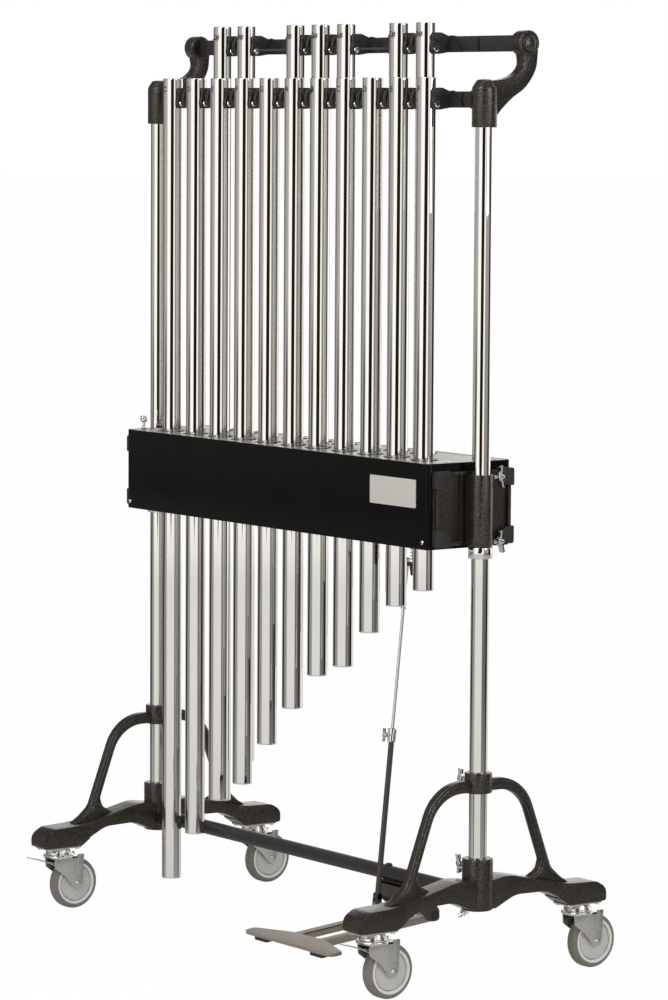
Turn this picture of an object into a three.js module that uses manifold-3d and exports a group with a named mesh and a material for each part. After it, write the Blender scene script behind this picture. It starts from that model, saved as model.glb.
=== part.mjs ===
// Orchestral tubular bells: chrome tubes on cords in two rows, a damper box and a pedal on a rolling frame.
// Millimetres. X runs along the rows of tubes, Y from the player to the back, Z up from the floor.
import * as THREE from 'three';
import { mergeVertices } from 'three/addons/utils/BufferGeometryUtils.js';
import Module from 'manifold-3d';

const wasm = await Module();
wasm.setup();

// Running gap, cutting overrun and facet counts
const fit = 0.3;
const overrun = 2;
const roundSides = 18;
const tubeSides = 16;
const postSides = 16;
const pinSides = 12;
const smallSides = 8;
const cordSides = 6;
const arcSteps = 2;
const curveSteps = 6;

// Tubes: a chromatic set from C5 to F6, naturals in front and accidentals behind and higher.
// A tube's place along the row is a share of the pitch, and its length a share of the front row's height.
const tube = { radius: 19.05, wall: 1.6, plug: 12, chamfer: 1.5, cordHole: 2.8, cordDrop: 46 };
const naturalRow = { y: -43, top: 1628 };
const rowRise = 100.5;
const accidentalRow = { y: 48, top: naturalRow.top + rowRise };
const naturalTubes = [
  { name: 'tube_C5', pitchShare: -5, lengthShare: 0.9631 },
  { name: 'tube_D5', pitchShare: -4, lengthShare: 0.9017 },
  { name: 'tube_E5', pitchShare: -3, lengthShare: 0.8538 },
  { name: 'tube_F5', pitchShare: -2, lengthShare: 0.8280 },
  { name: 'tube_G5', pitchShare: -1, lengthShare: 0.7746 },
  { name: 'tube_A5', pitchShare: 0, lengthShare: 0.7264 },
  { name: 'tube_B5', pitchShare: 1, lengthShare: 0.6824 },
  { name: 'tube_C6', pitchShare: 2, lengthShare: 0.6665 },
  { name: 'tube_D6', pitchShare: 3, lengthShare: 0.6222 },
  { name: 'tube_E6', pitchShare: 4, lengthShare: 0.5872 },
  { name: 'tube_F6', pitchShare: 5, lengthShare: 0.5651 },
];
const accidentalTubes = [
  { name: 'tube_C5_sharp', pitchShare: -4.5, lengthShare: 0.9318 },
  { name: 'tube_D5_sharp', pitchShare: -3.5, lengthShare: 0.8771 },
  { name: 'tube_F5_sharp', pitchShare: -1.5, lengthShare: 0.8010 },
  { name: 'tube_G5_sharp', pitchShare: -0.5, lengthShare: 0.7500 },
  { name: 'tube_A5_sharp', pitchShare: 0.5, lengthShare: 0.7039 },
  { name: 'tube_C6_sharp', pitchShare: 2.5, lengthShare: 0.6437 },
  { name: 'tube_D6_sharp', pitchShare: 3.5, lengthShare: 0.6044 },
];

// Upright frame: posts, S-shaped end castings and hanger rails
const post = { x: 510, radius: 16.5, wall: 2, bottom: 150, topDrop: 22 };
const collar = { radius: 22, height: 21, chamfer: 4 };
const socket = { radius: 22.5, bottomDrop: 88, topDrop: 15, crown: 9 };
const arm = { thickness: 24, ball: 23, ballThickness: 28, recess: 4, rim: 5.5 };
const rail = { thickness: 10, height: 29, rise: 7, offset: 43, pad: 8 };
const hanger = { clearance: 3, thickness: 6, reach: 10, above: 28, below: 11, neck: 9, round: 8 };
const cord = { radius: 1.7, knob: 4.5, knobLength: 5, overhang: 3 };

// Damper box and its end brackets
const box = { endGap: 30.5, front: -97.5, back: 94, bottom: 790, height: 154, corner: 10, wall: 2 };
const lid = { thickness: 2.7, rebate: 0.6, ledge: 5, ledgeThickness: 2, hole: 26 };
const bracket = { lift: 4, height: 137, frontInset: 7.5, backInset: 4, plate: 3.5, boss: 21, bossDrop: 7.5 };
const bracketRim = { depth: 8, width: 8, corner: 4 };
const bracketPad = { width: 30, height: 30, corner: 13, depth: 13.5 };
const bracketRib = { y: -26, width: 6, depth: 7 };
const screwBoss = { radius: 6.5, reach: 27 };
const wingScrew = { radius: 3, hub: 5.5, start: 38, end: 52, span: 20.5, width: 9, thickness: 4 };
const knob = { inset: 17.5, y: -68, stem: 2.2, stemLength: 15, radius: 7, height: 13, dip: 12 };
const knobFoot = { radius: 5, height: 4 };

// Damper mechanism in and under the box
const felt = { thickness: 6, height: 35, bottom: 850, overhang: 30 };
const carriage = { thickness: 4, tie: 10, tieHeight: 8 };
const guide = { wall: 4, length: 24, lip: 6, y: 26 };
const crank = { y: -22, z: 742, thickness: 6, hub: 7, pin: 3, pinArm: 26, pinReach: 8 };
const crankFoot = { rise: 3, width: 16, thickness: 6, front: 17, rear: 44.5 };
const crankSlot = { front: 22.8, rear: 36.9 };
const crankTail = { start: 37, end: 45, drop: 20, width: 6, thickness: 5 };
const crankPivot = { radius: 4, gap: 10, cheek: 3, width: 15 };
const tab = { offset: 5.5, thickness: 3, wall: 3.1, slotHeight: 11, slotDrop: 1, neck: 6 };
const tabOpening = { halfWidth: 3, margin: 1.6 };
const releaseDegrees = 15;
const spring = { y: 18.7, coil: 3.2, wire: 0.7, straight: 1.6 };
const springTurns = 7;

// Pedal linkage
const pedal = { offset: 3, y: 42, z: 92, length: 303, width: 248, depth: 50, thickness: 6, corner: 12 };
const pedalSlopeDegrees = 4.7;
const pedalArm = { inner: 28, outer: 46, height: 13, wall: 3, hub: 8, sleeve: 7, bridge: 26 };
const pedalPad = { width: 34, depth: 22, thickness: 5, inset: 22 };
const pedalPin = { radius: 4, cheek: 4, gap: 0.8 };
const pedalEar = { thickness: 4.4, radius: 6, pin: 2.5, pinHalf: 8.5 };
const hangBracket = { height: 27, depth: 32, wall: 4, boss: 10 };
const linkRod = { bottomY: -57, bottomZ: 117, topY: 8.2, topZ: 745 };
const rodTube = { radius: 5.2, start: 9, end: 300, boreDepth: 120 };
const rodFork = { gap: 2.5, cheek: 4, radius: 6, block: 12 };
const rodClamp = { radius: 8, length: 26, boss: 4.5, reach: 12 };
const thinRod = { radius: 3, insertion: 80, nut: 6, nutHeight: 6, nutCone: 1.2 };
const rodPin = { radius: 1.5, half: 7, drop: 84 };
const rodScrew = { radius: 2, hub: 4, start: 14, end: 20, span: 13, width: 6, thickness: 3 };

// Leg castings, crossbar and casters
const leg = { reach: 284, rise: 267.5, footWidth: 50, beamWidth: 44, braceWidth: 16 };
const legCollar = { radius: 25, height: 37 };
const legSocket = { radius: 26.5, lift: 17.5, height: 94 };
const crossbar = { radius: 13.5, wall: 2, rise: 44.5, boss: 19, bossReach: 22, seat: 4 };
const wheel = { radius: 50, width: 28, shoulder: 5, hub: 36, hubInset: 2.5 };
const caster = { inset: 48, trail: 33, plate: 3, plateHalfX: 24, plateHalfY: 40, head: 29, headHeight: 12 };
const fork = { crown: 3, wheelGap: 1.5, sideGap: 2, side: 2.5, axle: 4, nut: 6.5, nutHeight: 4, ear: 4 };
const brake = { width: 22, thickness: 2, ahead: 9, below: 9, reach: 60, lift: 17, hub: 4, pin: 2, shoe: 6 };

// The pitch of the tubes and the crank's place along the row, as shares of half the posts' distance
const rowPitchShare = 0.156863;
const crankShare = 0.562745;

// Places worked out from the sizes above
const rowPitch = rowPitchShare * post.x;
const crankX = crankShare * post.x;
const tabX = crankX + tab.offset;
const pedalX = crankX - pedal.offset;
const boxHalf = post.x - box.endGap;
const knobX = knob.inset - boxHalf;
const postTop = naturalRow.top - post.topDrop;
const castingBottom = naturalRow.top - socket.bottomDrop;
const castingTop = naturalRow.top - socket.topDrop;
const crownBottom = 2 * wheel.radius + fork.wheelGap;
const crownTop = crownBottom + fork.crown;
const forkTop = crownTop + caster.headHeight;
const footBottom = forkTop + fit + caster.plate;
const wheelTread = wheel.radius / Math.cos(Math.PI / roundSides);
const casterY = leg.reach - caster.inset;
const boxTop = box.bottom + box.height;
const lidTop = boxTop - lid.rebate;
const lidBottom = lidTop - lid.thickness;
const floorBottom = box.bottom + lid.rebate;
const floorTop = floorBottom + lid.thickness;
const bracketBottom = box.bottom + bracket.lift;
const bracketTop = bracketBottom + bracket.height;
const bracketX = boxHalf + fit;
const bossTop = bracketTop - bracket.bossDrop;
const upperScrewZ = bossTop - screwBoss.radius;
const lowerScrewZ = bracketBottom + screwBoss.radius;
const naturalCordZ = naturalRow.top - tube.cordDrop;
const accidentalCordZ = accidentalRow.top - tube.cordDrop;
const naturalRailY = naturalRow.y + rail.offset;
const accidentalRailY = accidentalRow.y + rail.offset;
const ballZ = accidentalCordZ + rail.rise;
const crossbarZ = footBottom + crossbar.rise;
const rodTilt = Math.atan2(linkRod.topY - linkRod.bottomY, linkRod.topZ - linkRod.bottomZ);
const rodLength = Math.hypot(linkRod.topY - linkRod.bottomY, linkRod.topZ - linkRod.bottomZ);
const naturalFeltFront = naturalRow.y + tube.radius + fit;
const accidentalFeltFront = accidentalRow.y + tube.radius + fit;
const carriageEnd = rowPitch * naturalTubes[naturalTubes.length - 1].pitchShare + felt.overhang;
const frontReach = casterY + brake.ahead + brake.reach;
const rearReach = casterY + caster.trail + wheelTread;

// Materials
const chrome = new THREE.MeshStandardMaterial({ color: '#c9c7c4', roughness: 0.12, metalness: 1 });
const hammered = new THREE.MeshStandardMaterial({ color: '#4a443f', roughness: 0.45, metalness: 0.6 });
const railPaint = new THREE.MeshStandardMaterial({ color: '#34302d', roughness: 0.5, metalness: 0.2 });
const boxPaint = new THREE.MeshStandardMaterial({ color: '#15130f', roughness: 0.35, metalness: 0.3 });
const lidPaint = new THREE.MeshStandardMaterial({ color: '#6d6a65', roughness: 0.3, metalness: 0.5 });
const aluminium = new THREE.MeshStandardMaterial({ color: '#a8a9ab', roughness: 0.4, metalness: 1 });
const feltCloth = new THREE.MeshStandardMaterial({ color: '#2c2a29', roughness: 1, metalness: 0 });
const cordFibre = new THREE.MeshStandardMaterial({ color: '#1c1b1a', roughness: 0.8, metalness: 0 });
const zinc = new THREE.MeshStandardMaterial({ color: '#b9bab6', roughness: 0.3, metalness: 1 });
const wheelGrey = new THREE.MeshStandardMaterial({ color: '#86827c', roughness: 0.7, metalness: 0 });
const rodPaint = new THREE.MeshStandardMaterial({ color: '#3d3833', roughness: 0.5, metalness: 0.3 });

// Turns a closed geometry into a solid that faces out
function solid(geometry) {
  const bare = new THREE.BufferGeometry();
  bare.setAttribute('position', geometry.getAttribute('position').clone());
  if (geometry.index) bare.setIndex(geometry.index.clone());
  const merged = mergeVertices(bare);
  const places = merged.getAttribute('position').array;
  const faces = [];
  let volume = 0;
  for (let i = 0; i < merged.index.count; i += 3) {
    const [a, b, c] = [0, 1, 2].map((k) => merged.index.getX(i + k));
    if (a === b || b === c || a === c) continue;
    faces.push([a, b, c]);
    const [p, q, r] = [a, b, c].map((k) => new THREE.Vector3().fromArray(places, 3 * k));
    volume += p.dot(q.cross(r));
  }
  const triVerts = new Uint32Array(faces.flatMap(([a, b, c]) => (volume < 0 ? [a, c, b] : [a, b, c])));
  const vertProperties = new Float32Array(places);
  return new wasm.Manifold(new wasm.Mesh({ numProp: 3, vertProperties, triVerts }));
}

function joined(pieces) {
  return pieces.reduce((whole, piece) => whole.add(piece));
}

function cut(body, cutters) {
  return cutters.reduce((rest, cutter) => rest.subtract(cutter), body);
}

function mesh(name, body, material) {
  const data = body.getMesh();
  const geometry = new THREE.BufferGeometry();
  geometry.setAttribute('position', new THREE.BufferAttribute(new Float32Array(data.vertProperties), 3));
  geometry.setIndex(new THREE.BufferAttribute(new Uint32Array(data.triVerts), 1));
  geometry.computeVertexNormals();
  const piece = new THREE.Mesh(geometry, material);
  piece.name = name;
  return piece;
}

function block([x0, y0, z0], [x1, y1, z1]) {
  const geometry = new THREE.BoxGeometry(Math.abs(x1 - x0), Math.abs(y1 - y0), Math.abs(z1 - z0));
  geometry.translate((x0 + x1) / 2, (y0 + y1) / 2, (z0 + z1) / 2);
  return solid(geometry);
}

// Extrudes an outline along an axis. The outline is drawn in (y, z) for an extrusion along x,
// in (x, z) for one along y and in (x, y) for one along z.
function slab(axis, shape, from, to) {
  const geometry = new THREE.ExtrudeGeometry(shape, { depth: Math.abs(to - from), bevelEnabled: false });
  geometry.translate(0, 0, Math.min(from, to));
  const along = {
    x: new THREE.Matrix4().set(0, 0, 1, 0, 1, 0, 0, 0, 0, 1, 0, 0, 0, 0, 0, 1),
    y: new THREE.Matrix4().set(1, 0, 0, 0, 0, 0, 1, 0, 0, 1, 0, 0, 0, 0, 0, 1),
    z: new THREE.Matrix4(),
  };
  geometry.applyMatrix4(along[axis]);
  return solid(geometry);
}

// A regular polygon, with flat sides toward both axes when the number of sides is a multiple of four
function polygon(centre, radius, sides, turn = 0.5) {
  const points = [];
  for (let i = 0; i < sides; i += 1) {
    const angle = (2 * Math.PI * (i + turn)) / sides;
    const [a, b] = [radius * Math.cos(angle), radius * Math.sin(angle)];
    points.push(new THREE.Vector2(centre[0] + a, centre[1] + b));
  }
  return new THREE.Shape(points);
}

function cylinder(axis, centre, radius, from, to, sides = roundSides) {
  return slab(axis, polygon(centre, radius, sides), from, to);
}

// A hole whose flats lie outside the given radius, so that a round pin clears them
function bored(axis, centre, radius, from, to, sides = pinSides) {
  const turn = sides % 4 === 2 ? 0 : 0.5;
  return slab(axis, polygon(centre, radius / Math.cos(Math.PI / sides), sides, turn), from, to);
}

function ring(outer, inner) {
  outer.holes.push(new THREE.Path(inner.getPoints()));
  return outer;
}

// A round shape about a vertical axis from [radius, height] pairs
function revolved(profile, sides = roundSides) {
  const geometry = new THREE.LatheGeometry(profile.map(([r, h]) => new THREE.Vector2(r, h)), sides);
  geometry.rotateX(Math.PI / 2);
  return solid(geometry);
}

// A polygon whose corners [a, b, radius] are rounded with arcs
function rounded(corners, steps = arcSteps) {
  const points = [];
  corners.forEach(([a, b, radius], i) => {
    const here = new THREE.Vector2(a, b);
    const before = new THREE.Vector2(...corners[(i + corners.length - 1) % corners.length].slice(0, 2));
    const after = new THREE.Vector2(...corners[(i + 1) % corners.length].slice(0, 2));
    if (!radius) {
      points.push(here);
      return;
    }
    const toBefore = before.sub(here).normalize();
    const toAfter = after.sub(here).normalize();
    const half = Math.acos(THREE.MathUtils.clamp(toBefore.dot(toAfter), -1, 1)) / 2;
    const inward = toBefore.clone().add(toAfter).normalize();
    const centre = here.clone().addScaledVector(inward, radius / Math.sin(half));
    const start = here.clone().addScaledVector(toBefore, radius / Math.tan(half)).sub(centre);
    const end = here.clone().addScaledVector(toAfter, radius / Math.tan(half)).sub(centre);
    const sweep = Math.atan2(start.cross(end), start.dot(end));
    for (let k = 0; k <= steps; k += 1) {
      points.push(start.clone().rotateAround(new THREE.Vector2(), (sweep * k) / steps).add(centre));
    }
  });
  return new THREE.Shape(points);
}

function rectangle(x0, y0, x1, y1, radius, steps) {
  return rounded([[x0, y0, radius], [x1, y0, radius], [x1, y1, radius], [x0, y1, radius]], steps);
}

// The next two make pieces that are mirrored between the left and the right end
function sideBlock(side, [x0, y0, z0], [x1, y1, z1]) {
  return block([side * x0, y0, z0], [side * x1, y1, z1]);
}

function sideSlab(side, shape, inner, outer) {
  return slab('x', shape, side * inner, side * outer);
}

// Chime tube: plugged at the striking end, open at the foot, with a cross hole that hangs on the cord
function makeTube(length) {
  const bore = tube.radius - tube.wall;
  const body = revolved([
    [0, 0],
    [tube.radius - tube.chamfer, 0],
    [tube.radius, -tube.chamfer],
    [tube.radius, -length],
    [bore, -length],
    [bore, -tube.plug],
    [0, -tube.plug],
  ], tubeSides);
  const holeZ = cord.radius + fit - tube.cordHole - tube.cordDrop;
  const reach = tube.radius + overrun;
  return cut(body, [bored('x', [0, holeZ], tube.cordHole, -reach, reach, cordSides)]);
}

// Post with the stop collar that the damper box rests on
function makePost(side) {
  const top = bracketBottom - fit;
  const centre = [side * post.x, 0];
  const body = joined([
    cylinder('z', centre, post.radius, post.bottom, postTop, postSides),
    cylinder('z', centre, collar.radius, top - collar.height + collar.chamfer, top, postSides),
    cylinder('z', centre, collar.radius - collar.chamfer / 2, top - collar.height, top, postSides),
  ]);
  const bore = post.radius - post.wall;
  return cut(body, [cylinder('z', centre, bore, post.bottom - overrun, postTop + overrun, postSides)]);
}

// S-shaped end casting. Its two edges are shares of the accidental rail's distance behind the post
// along Y and of its height above the socket's foot along Z.
const armRearShares = [[0.1, 0.05], [0.32, 0.2], [0.6, 0.345], [0.945, 0.482], [1.19, 0.69], [1.247, 0.92]];
const armFrontShares = [[0.8, 1], [0.87, 0.84], [0.87, 0.73], [0.7, 0.63], [0.4, 0.57], [0, 0.55]];

function armEdge(shares, inset) {
  const rise = ballZ - castingBottom;
  const places = shares.map(([y, z]) => new THREE.Vector2(y * accidentalRailY, castingBottom + z * rise));
  const curve = new THREE.SplineCurve(places);
  const points = [];
  for (let i = 0; i <= curveSteps; i += 1) {
    const along = curve.getTangent(i / curveSteps);
    const inward = new THREE.Vector2(-along.y, along.x);
    points.push(curve.getPoint(i / curveSteps).addScaledVector(inward, inset));
  }
  return points;
}

function armOutline(inset) {
  return new THREE.Shape([...armEdge(armRearShares, inset), ...armEdge(armFrontShares, inset)]);
}

function makeEndCasting(side) {
  const centre = [side * post.x, 0];
  const inner = post.x - arm.thickness / 2;
  const outer = post.x + arm.thickness / 2;
  const railZ = naturalCordZ + rail.rise;
  const padHalfY = rail.thickness / 2 + rail.pad / 4;
  const padHalfZ = rail.height / 2 + rail.pad / 4;
  const curved = cut(sideSlab(side, armOutline(0), inner, outer), [
    sideSlab(side, armOutline(arm.rim), inner - overrun, inner + arm.recess),
    sideSlab(side, armOutline(arm.rim), outer - arm.recess, outer + overrun),
  ]);
  const ball = polygon([accidentalRailY, ballZ], arm.ball, postSides);
  const crown = castingTop + socket.crown;
  const body = joined([
    curved,
    sideSlab(side, ball, post.x - arm.ballThickness / 2, post.x + arm.ballThickness / 2),
    cylinder('z', centre, socket.radius, castingBottom, castingTop, postSides),
    cylinder('z', centre, socket.radius - socket.crown / 2, castingBottom, crown, postSides),
    sideBlock(side, [post.x - socket.radius - rail.pad, naturalRailY - padHalfY, railZ - padHalfZ],
      [post.x, naturalRailY + padHalfY, railZ + padHalfZ]),
  ]);
  const seat = postTop + fit;
  return cut(body, [cylinder('z', centre, post.radius + fit, castingBottom - overrun, seat, postSides)]);
}

// Hanger rail: a flat bar with a moulded pair of cheeks for each tube, bored for the cord
function cheekShape(row, cordZ, railFront) {
  const railTop = cordZ + rail.rise + rail.height / 2;
  const railBottom = cordZ + rail.rise - rail.height / 2;
  return rounded([
    [row.y - hanger.reach, cordZ - hanger.below, hanger.round],
    [row.y + hanger.reach, cordZ - hanger.below, 0],
    [railFront - hanger.neck, railBottom, 0],
    [railFront + fit, railBottom, 0],
    [railFront + fit, railTop, 0],
    [railFront - hanger.neck, railTop, 0],
    [row.y + hanger.reach, cordZ + hanger.above, 0],
    [row.y - hanger.reach, cordZ + hanger.above, hanger.round],
  ], 1);
}

function makeRail(row, tubes, cordZ, railY, halfLength) {
  const railZ = cordZ + rail.rise;
  const front = railY - rail.thickness / 2;
  const back = railY + rail.thickness / 2;
  const inner = tube.radius + hanger.clearance;
  const outer = inner + hanger.thickness;
  const shape = cheekShape(row, cordZ, front);
  const parts = [
    block([-halfLength, front, railZ - rail.height / 2], [halfLength, back, railZ + rail.height / 2]),
  ];
  tubes.forEach(({ pitchShare }) => [-1, 1].forEach((hand) => {
    const x = pitchShare * rowPitch;
    parts.push(slab('x', shape, x + hand * inner, x + hand * outer));
  }));
  const reach = outer + overrun;
  const first = tubes[0].pitchShare * rowPitch - reach;
  const last = tubes[tubes.length - 1].pitchShare * rowPitch + reach;
  return cut(joined(parts), [bored('x', [row.y, cordZ], cord.radius + fit, first, last, cordSides)]);
}

// Hanging cord: runs through the cheeks and the tubes, with a round stop at each end
function makeCord(row, tubes, cordZ) {
  const reach = tube.radius + hanger.clearance + hanger.thickness;
  const first = tubes[0].pitchShare * rowPitch - reach;
  const last = tubes[tubes.length - 1].pitchShare * rowPitch + reach;
  const extra = cord.knobLength + cord.overhang;
  return joined([
    cylinder('x', [row.y, cordZ], cord.radius, first - extra, last + extra, smallSides),
    cylinder('x', [row.y, cordZ], cord.knob, first - fit - cord.knobLength, first - fit, smallSides),
    cylinder('x', [row.y, cordZ], cord.knob, last + fit, last + fit + cord.knobLength, smallSides),
  ]);
}

// Damper box: a wrapped sheet shell with ledges, a drilled lid and a drilled floor
function boxOutline(inset) {
  return rectangle(-boxHalf + inset, box.front + inset, boxHalf - inset, box.back - inset,
    box.corner - inset);
}

function makeLedge(low) {
  const shape = ring(boxOutline(box.wall / 2), boxOutline(box.wall + lid.ledge));
  return slab('z', shape, low, low + lid.ledgeThickness);
}

function makeShell() {
  return joined([
    slab('z', ring(boxOutline(0), boxOutline(box.wall)), box.bottom, boxTop),
    makeLedge(lidBottom - fit - lid.ledgeThickness),
    makeLedge(floorTop + fit),
  ]);
}

function drilledPlate(low, high) {
  const shape = boxOutline(box.wall + fit);
  [[naturalRow, naturalTubes], [accidentalRow, accidentalTubes]].forEach(([row, tubes]) => {
    tubes.forEach(({ pitchShare }) => {
      ring(shape, polygon([pitchShare * rowPitch, row.y], lid.hole, pinSides));
    });
  });
  return slab('z', shape, low, high);
}

function makeLid() {
  const stem = knob.stem + fit;
  const stemHole = bored('z', [knobX, knob.y], stem, lidBottom - overrun, lidTop + overrun, smallSides);
  return cut(drilledPlate(lidBottom, lidTop), [stemHole]);
}

// The floor carries the crank's two cheeks below and the carriage's two guides above
function makeFloor() {
  const tabHalf = crank.pin + fit + tab.wall + tabOpening.margin;
  const travel = crank.pinArm * Math.sin(THREE.MathUtils.degToRad(releaseDegrees));
  const opening = block([tabX - tabOpening.halfWidth, crank.y - tabHalf, floorBottom - overrun],
    [tabX + tabOpening.halfWidth, crank.y + tabHalf + travel, floorTop + overrun]);
  const half = crankPivot.width / 2;
  const cheek = rounded([
    [crank.y - half, floorBottom + fit, 0],
    [crank.y - half, crank.z - crank.hub, crank.hub],
    [crank.y + half, crank.z - crank.hub, crank.hub],
    [crank.y + half, floorBottom + fit, 0],
  ]);
  const far = crankPivot.gap + crankPivot.cheek;
  const cheeks = [-1, 1].map((hand) => (
    slab('x', cheek, crankX + hand * crankPivot.gap, crankX + hand * far)));
  const guides = [-1, 1].map((side) => {
    const middle = carriageEnd + carriage.tie / 2;
    const channel = carriage.tie / 2 + fit;
    const outer = channel + guide.wall;
    const body = sideBlock(side, [middle - outer, guide.y - guide.length / 2, floorTop - fit],
      [middle + outer, guide.y + guide.length / 2, felt.bottom + guide.lip]);
    return cut(body, [sideBlock(side, [middle - channel, guide.y - guide.length, felt.bottom - fit],
      [middle + channel, guide.y + guide.length, felt.bottom + guide.lip + overrun])]);
  });
  const reach = far + overrun;
  const pivotHole = crankPivot.radius + fit;
  const pivotBore = bored('x', [crank.y, crank.z], pivotHole, crankX - reach, crankX + reach);
  return cut(joined([drilledPlate(floorBottom, floorTop), ...cheeks, ...guides]), [opening, pivotBore]);
}

// End bracket: a framed casting on the end of the box with a boss that clamps on the post
function makeBracket(side) {
  const front = box.front + bracket.frontInset;
  const back = box.back - bracket.backInset;
  const plate = rectangle(front, bracketBottom, back, bracketTop, bracketRim.corner, 1);
  const window = rectangle(front + bracketRim.width, bracketBottom + bracketRim.width,
    back - bracketRim.width, bracketTop - bracketRim.width, bracketRim.corner, 1);
  const rim = ring(rectangle(front, bracketBottom, back, bracketTop, bracketRim.corner, 1), window);
  const pad = (y, inY, z, inZ) => sideSlab(side, rounded([
    [y, z, bracketRim.corner],
    [y + inY * bracketPad.width, z, 0],
    [y + inY * bracketPad.width, z + inZ * bracketPad.height, bracketPad.corner],
    [y, z + inZ * bracketPad.height, 0],
  ]), bracketX, bracketX + bracketPad.depth);
  const centre = [side * post.x, 0];
  const body = joined([
    sideSlab(side, plate, bracketX, bracketX + bracket.plate),
    sideSlab(side, rim, bracketX, bracketX + bracketRim.depth),
    pad(front, 1, bracketBottom, 1),
    pad(front, 1, bracketTop, -1),
    pad(back, -1, bracketBottom, 1),
    pad(back, -1, bracketTop, -1),
    sideBlock(side, [bracketX, bracketRib.y - bracketRib.width / 2, bracketBottom],
      [bracketX + bracketRib.depth, bracketRib.y + bracketRib.width / 2, bracketTop]),
    cylinder('z', centre, bracket.boss, bracketBottom, bossTop, postSides),
    sideBlock(side, [bracketX, -post.radius, bracketBottom], [post.x, post.radius, bossTop]),
    ...[upperScrewZ, lowerScrewZ].map((z) => (
      cylinder('y', [side * post.x, z], screwBoss.radius, post.radius, screwBoss.reach, pinSides))),
  ]);
  return cut(body, [
    cylinder('z', centre, post.radius + fit, bracketBottom - overrun, bossTop + overrun, postSides),
    ...[upperScrewZ, lowerScrewZ].map((z) => (
      bored('y', [side * post.x, z], wingScrew.radius + fit, 0, screwBoss.reach + overrun, smallSides))),
  ]);
}

// Wing screw along +Y whose tip stops just short of what it clamps
function makeWingScrew(sizes, tip) {
  const tipWidth = sizes.width / 4;
  const wing = rounded([
    [-tipWidth, -sizes.span, tipWidth / 2],
    [tipWidth, -sizes.span, tipWidth / 2],
    [sizes.width / 2, 0, 0],
    [tipWidth, sizes.span, tipWidth / 2],
    [-tipWidth, sizes.span, tipWidth / 2],
    [-sizes.width / 2, 0, 0],
  ], 1);
  return joined([
    cylinder('y', [0, 0], sizes.radius, tip, sizes.end - fit, smallSides),
    cylinder('y', [0, 0], sizes.hub, sizes.start, sizes.end, smallSides),
    slab('y', wing, sizes.end - sizes.thickness, sizes.end),
  ]);
}

function makeKnob() {
  return revolved([
    [0, -knob.dip],
    [knob.stem, -knob.dip],
    [knob.stem, fit],
    [knobFoot.radius, fit],
    [knobFoot.radius, knobFoot.height],
    [knob.stem, knobFoot.height + fit],
    [knob.stem, knob.stemLength],
    [knob.radius - knob.stem / 2, knob.stemLength],
    [knob.radius, knob.stemLength + knob.stem],
    [knob.radius, knob.stemLength + knob.height],
    [0, knob.stemLength + knob.height],
  ], pinSides);
}

// Damper carriage: two bars tied at their ends, with a slotted tab that the crank's pin moves
function makeCarriage() {
  const naturalY = naturalFeltFront + felt.thickness + fit;
  const accidentalY = accidentalFeltFront + felt.thickness + fit;
  const end = carriageEnd + carriage.tie;
  const tieTop = felt.bottom + carriage.tieHeight;
  const bars = [naturalY, accidentalY].map((y) => (
    block([-end, y, felt.bottom], [end, y + carriage.thickness, felt.bottom + felt.height])));
  const ties = [-1, 1].map((side) => (
    sideBlock(side, [carriageEnd, naturalY, felt.bottom], [end, accidentalY + fit, tieTop])));
  const slotLow = crank.z + crank.pinArm - tab.slotHeight / 2 - tab.slotDrop;
  const half = crank.pin + fit;
  const front = crank.y - half - tab.wall;
  const back = crank.y + half + tab.wall;
  const outline = rounded([
    [front, slotLow - tab.wall, tab.wall],
    [back, slotLow - tab.wall, tab.wall],
    [back, felt.bottom - 2 * tab.neck, 0],
    [naturalY + carriage.thickness, felt.bottom - tab.neck, 0],
    [naturalY + carriage.thickness, felt.bottom + tab.neck, 0],
    [naturalY, felt.bottom + tab.neck, 0],
    [naturalY, felt.bottom - tab.neck / 2, 0],
    [front, felt.bottom - 2 * tab.neck, 0],
  ]);
  ring(outline, rectangle(crank.y - half, slotLow, crank.y + half, slotLow + tab.slotHeight, crank.pin));
  const plate = slab('x', outline, tabX - tab.thickness / 2, tabX + tab.thickness / 2);
  return joined([...bars, ...ties, plate]);
}

function makeFelt(front) {
  return block([-carriageEnd, front, felt.bottom],
    [carriageEnd, front + felt.thickness, felt.bottom + felt.height]);
}

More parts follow.
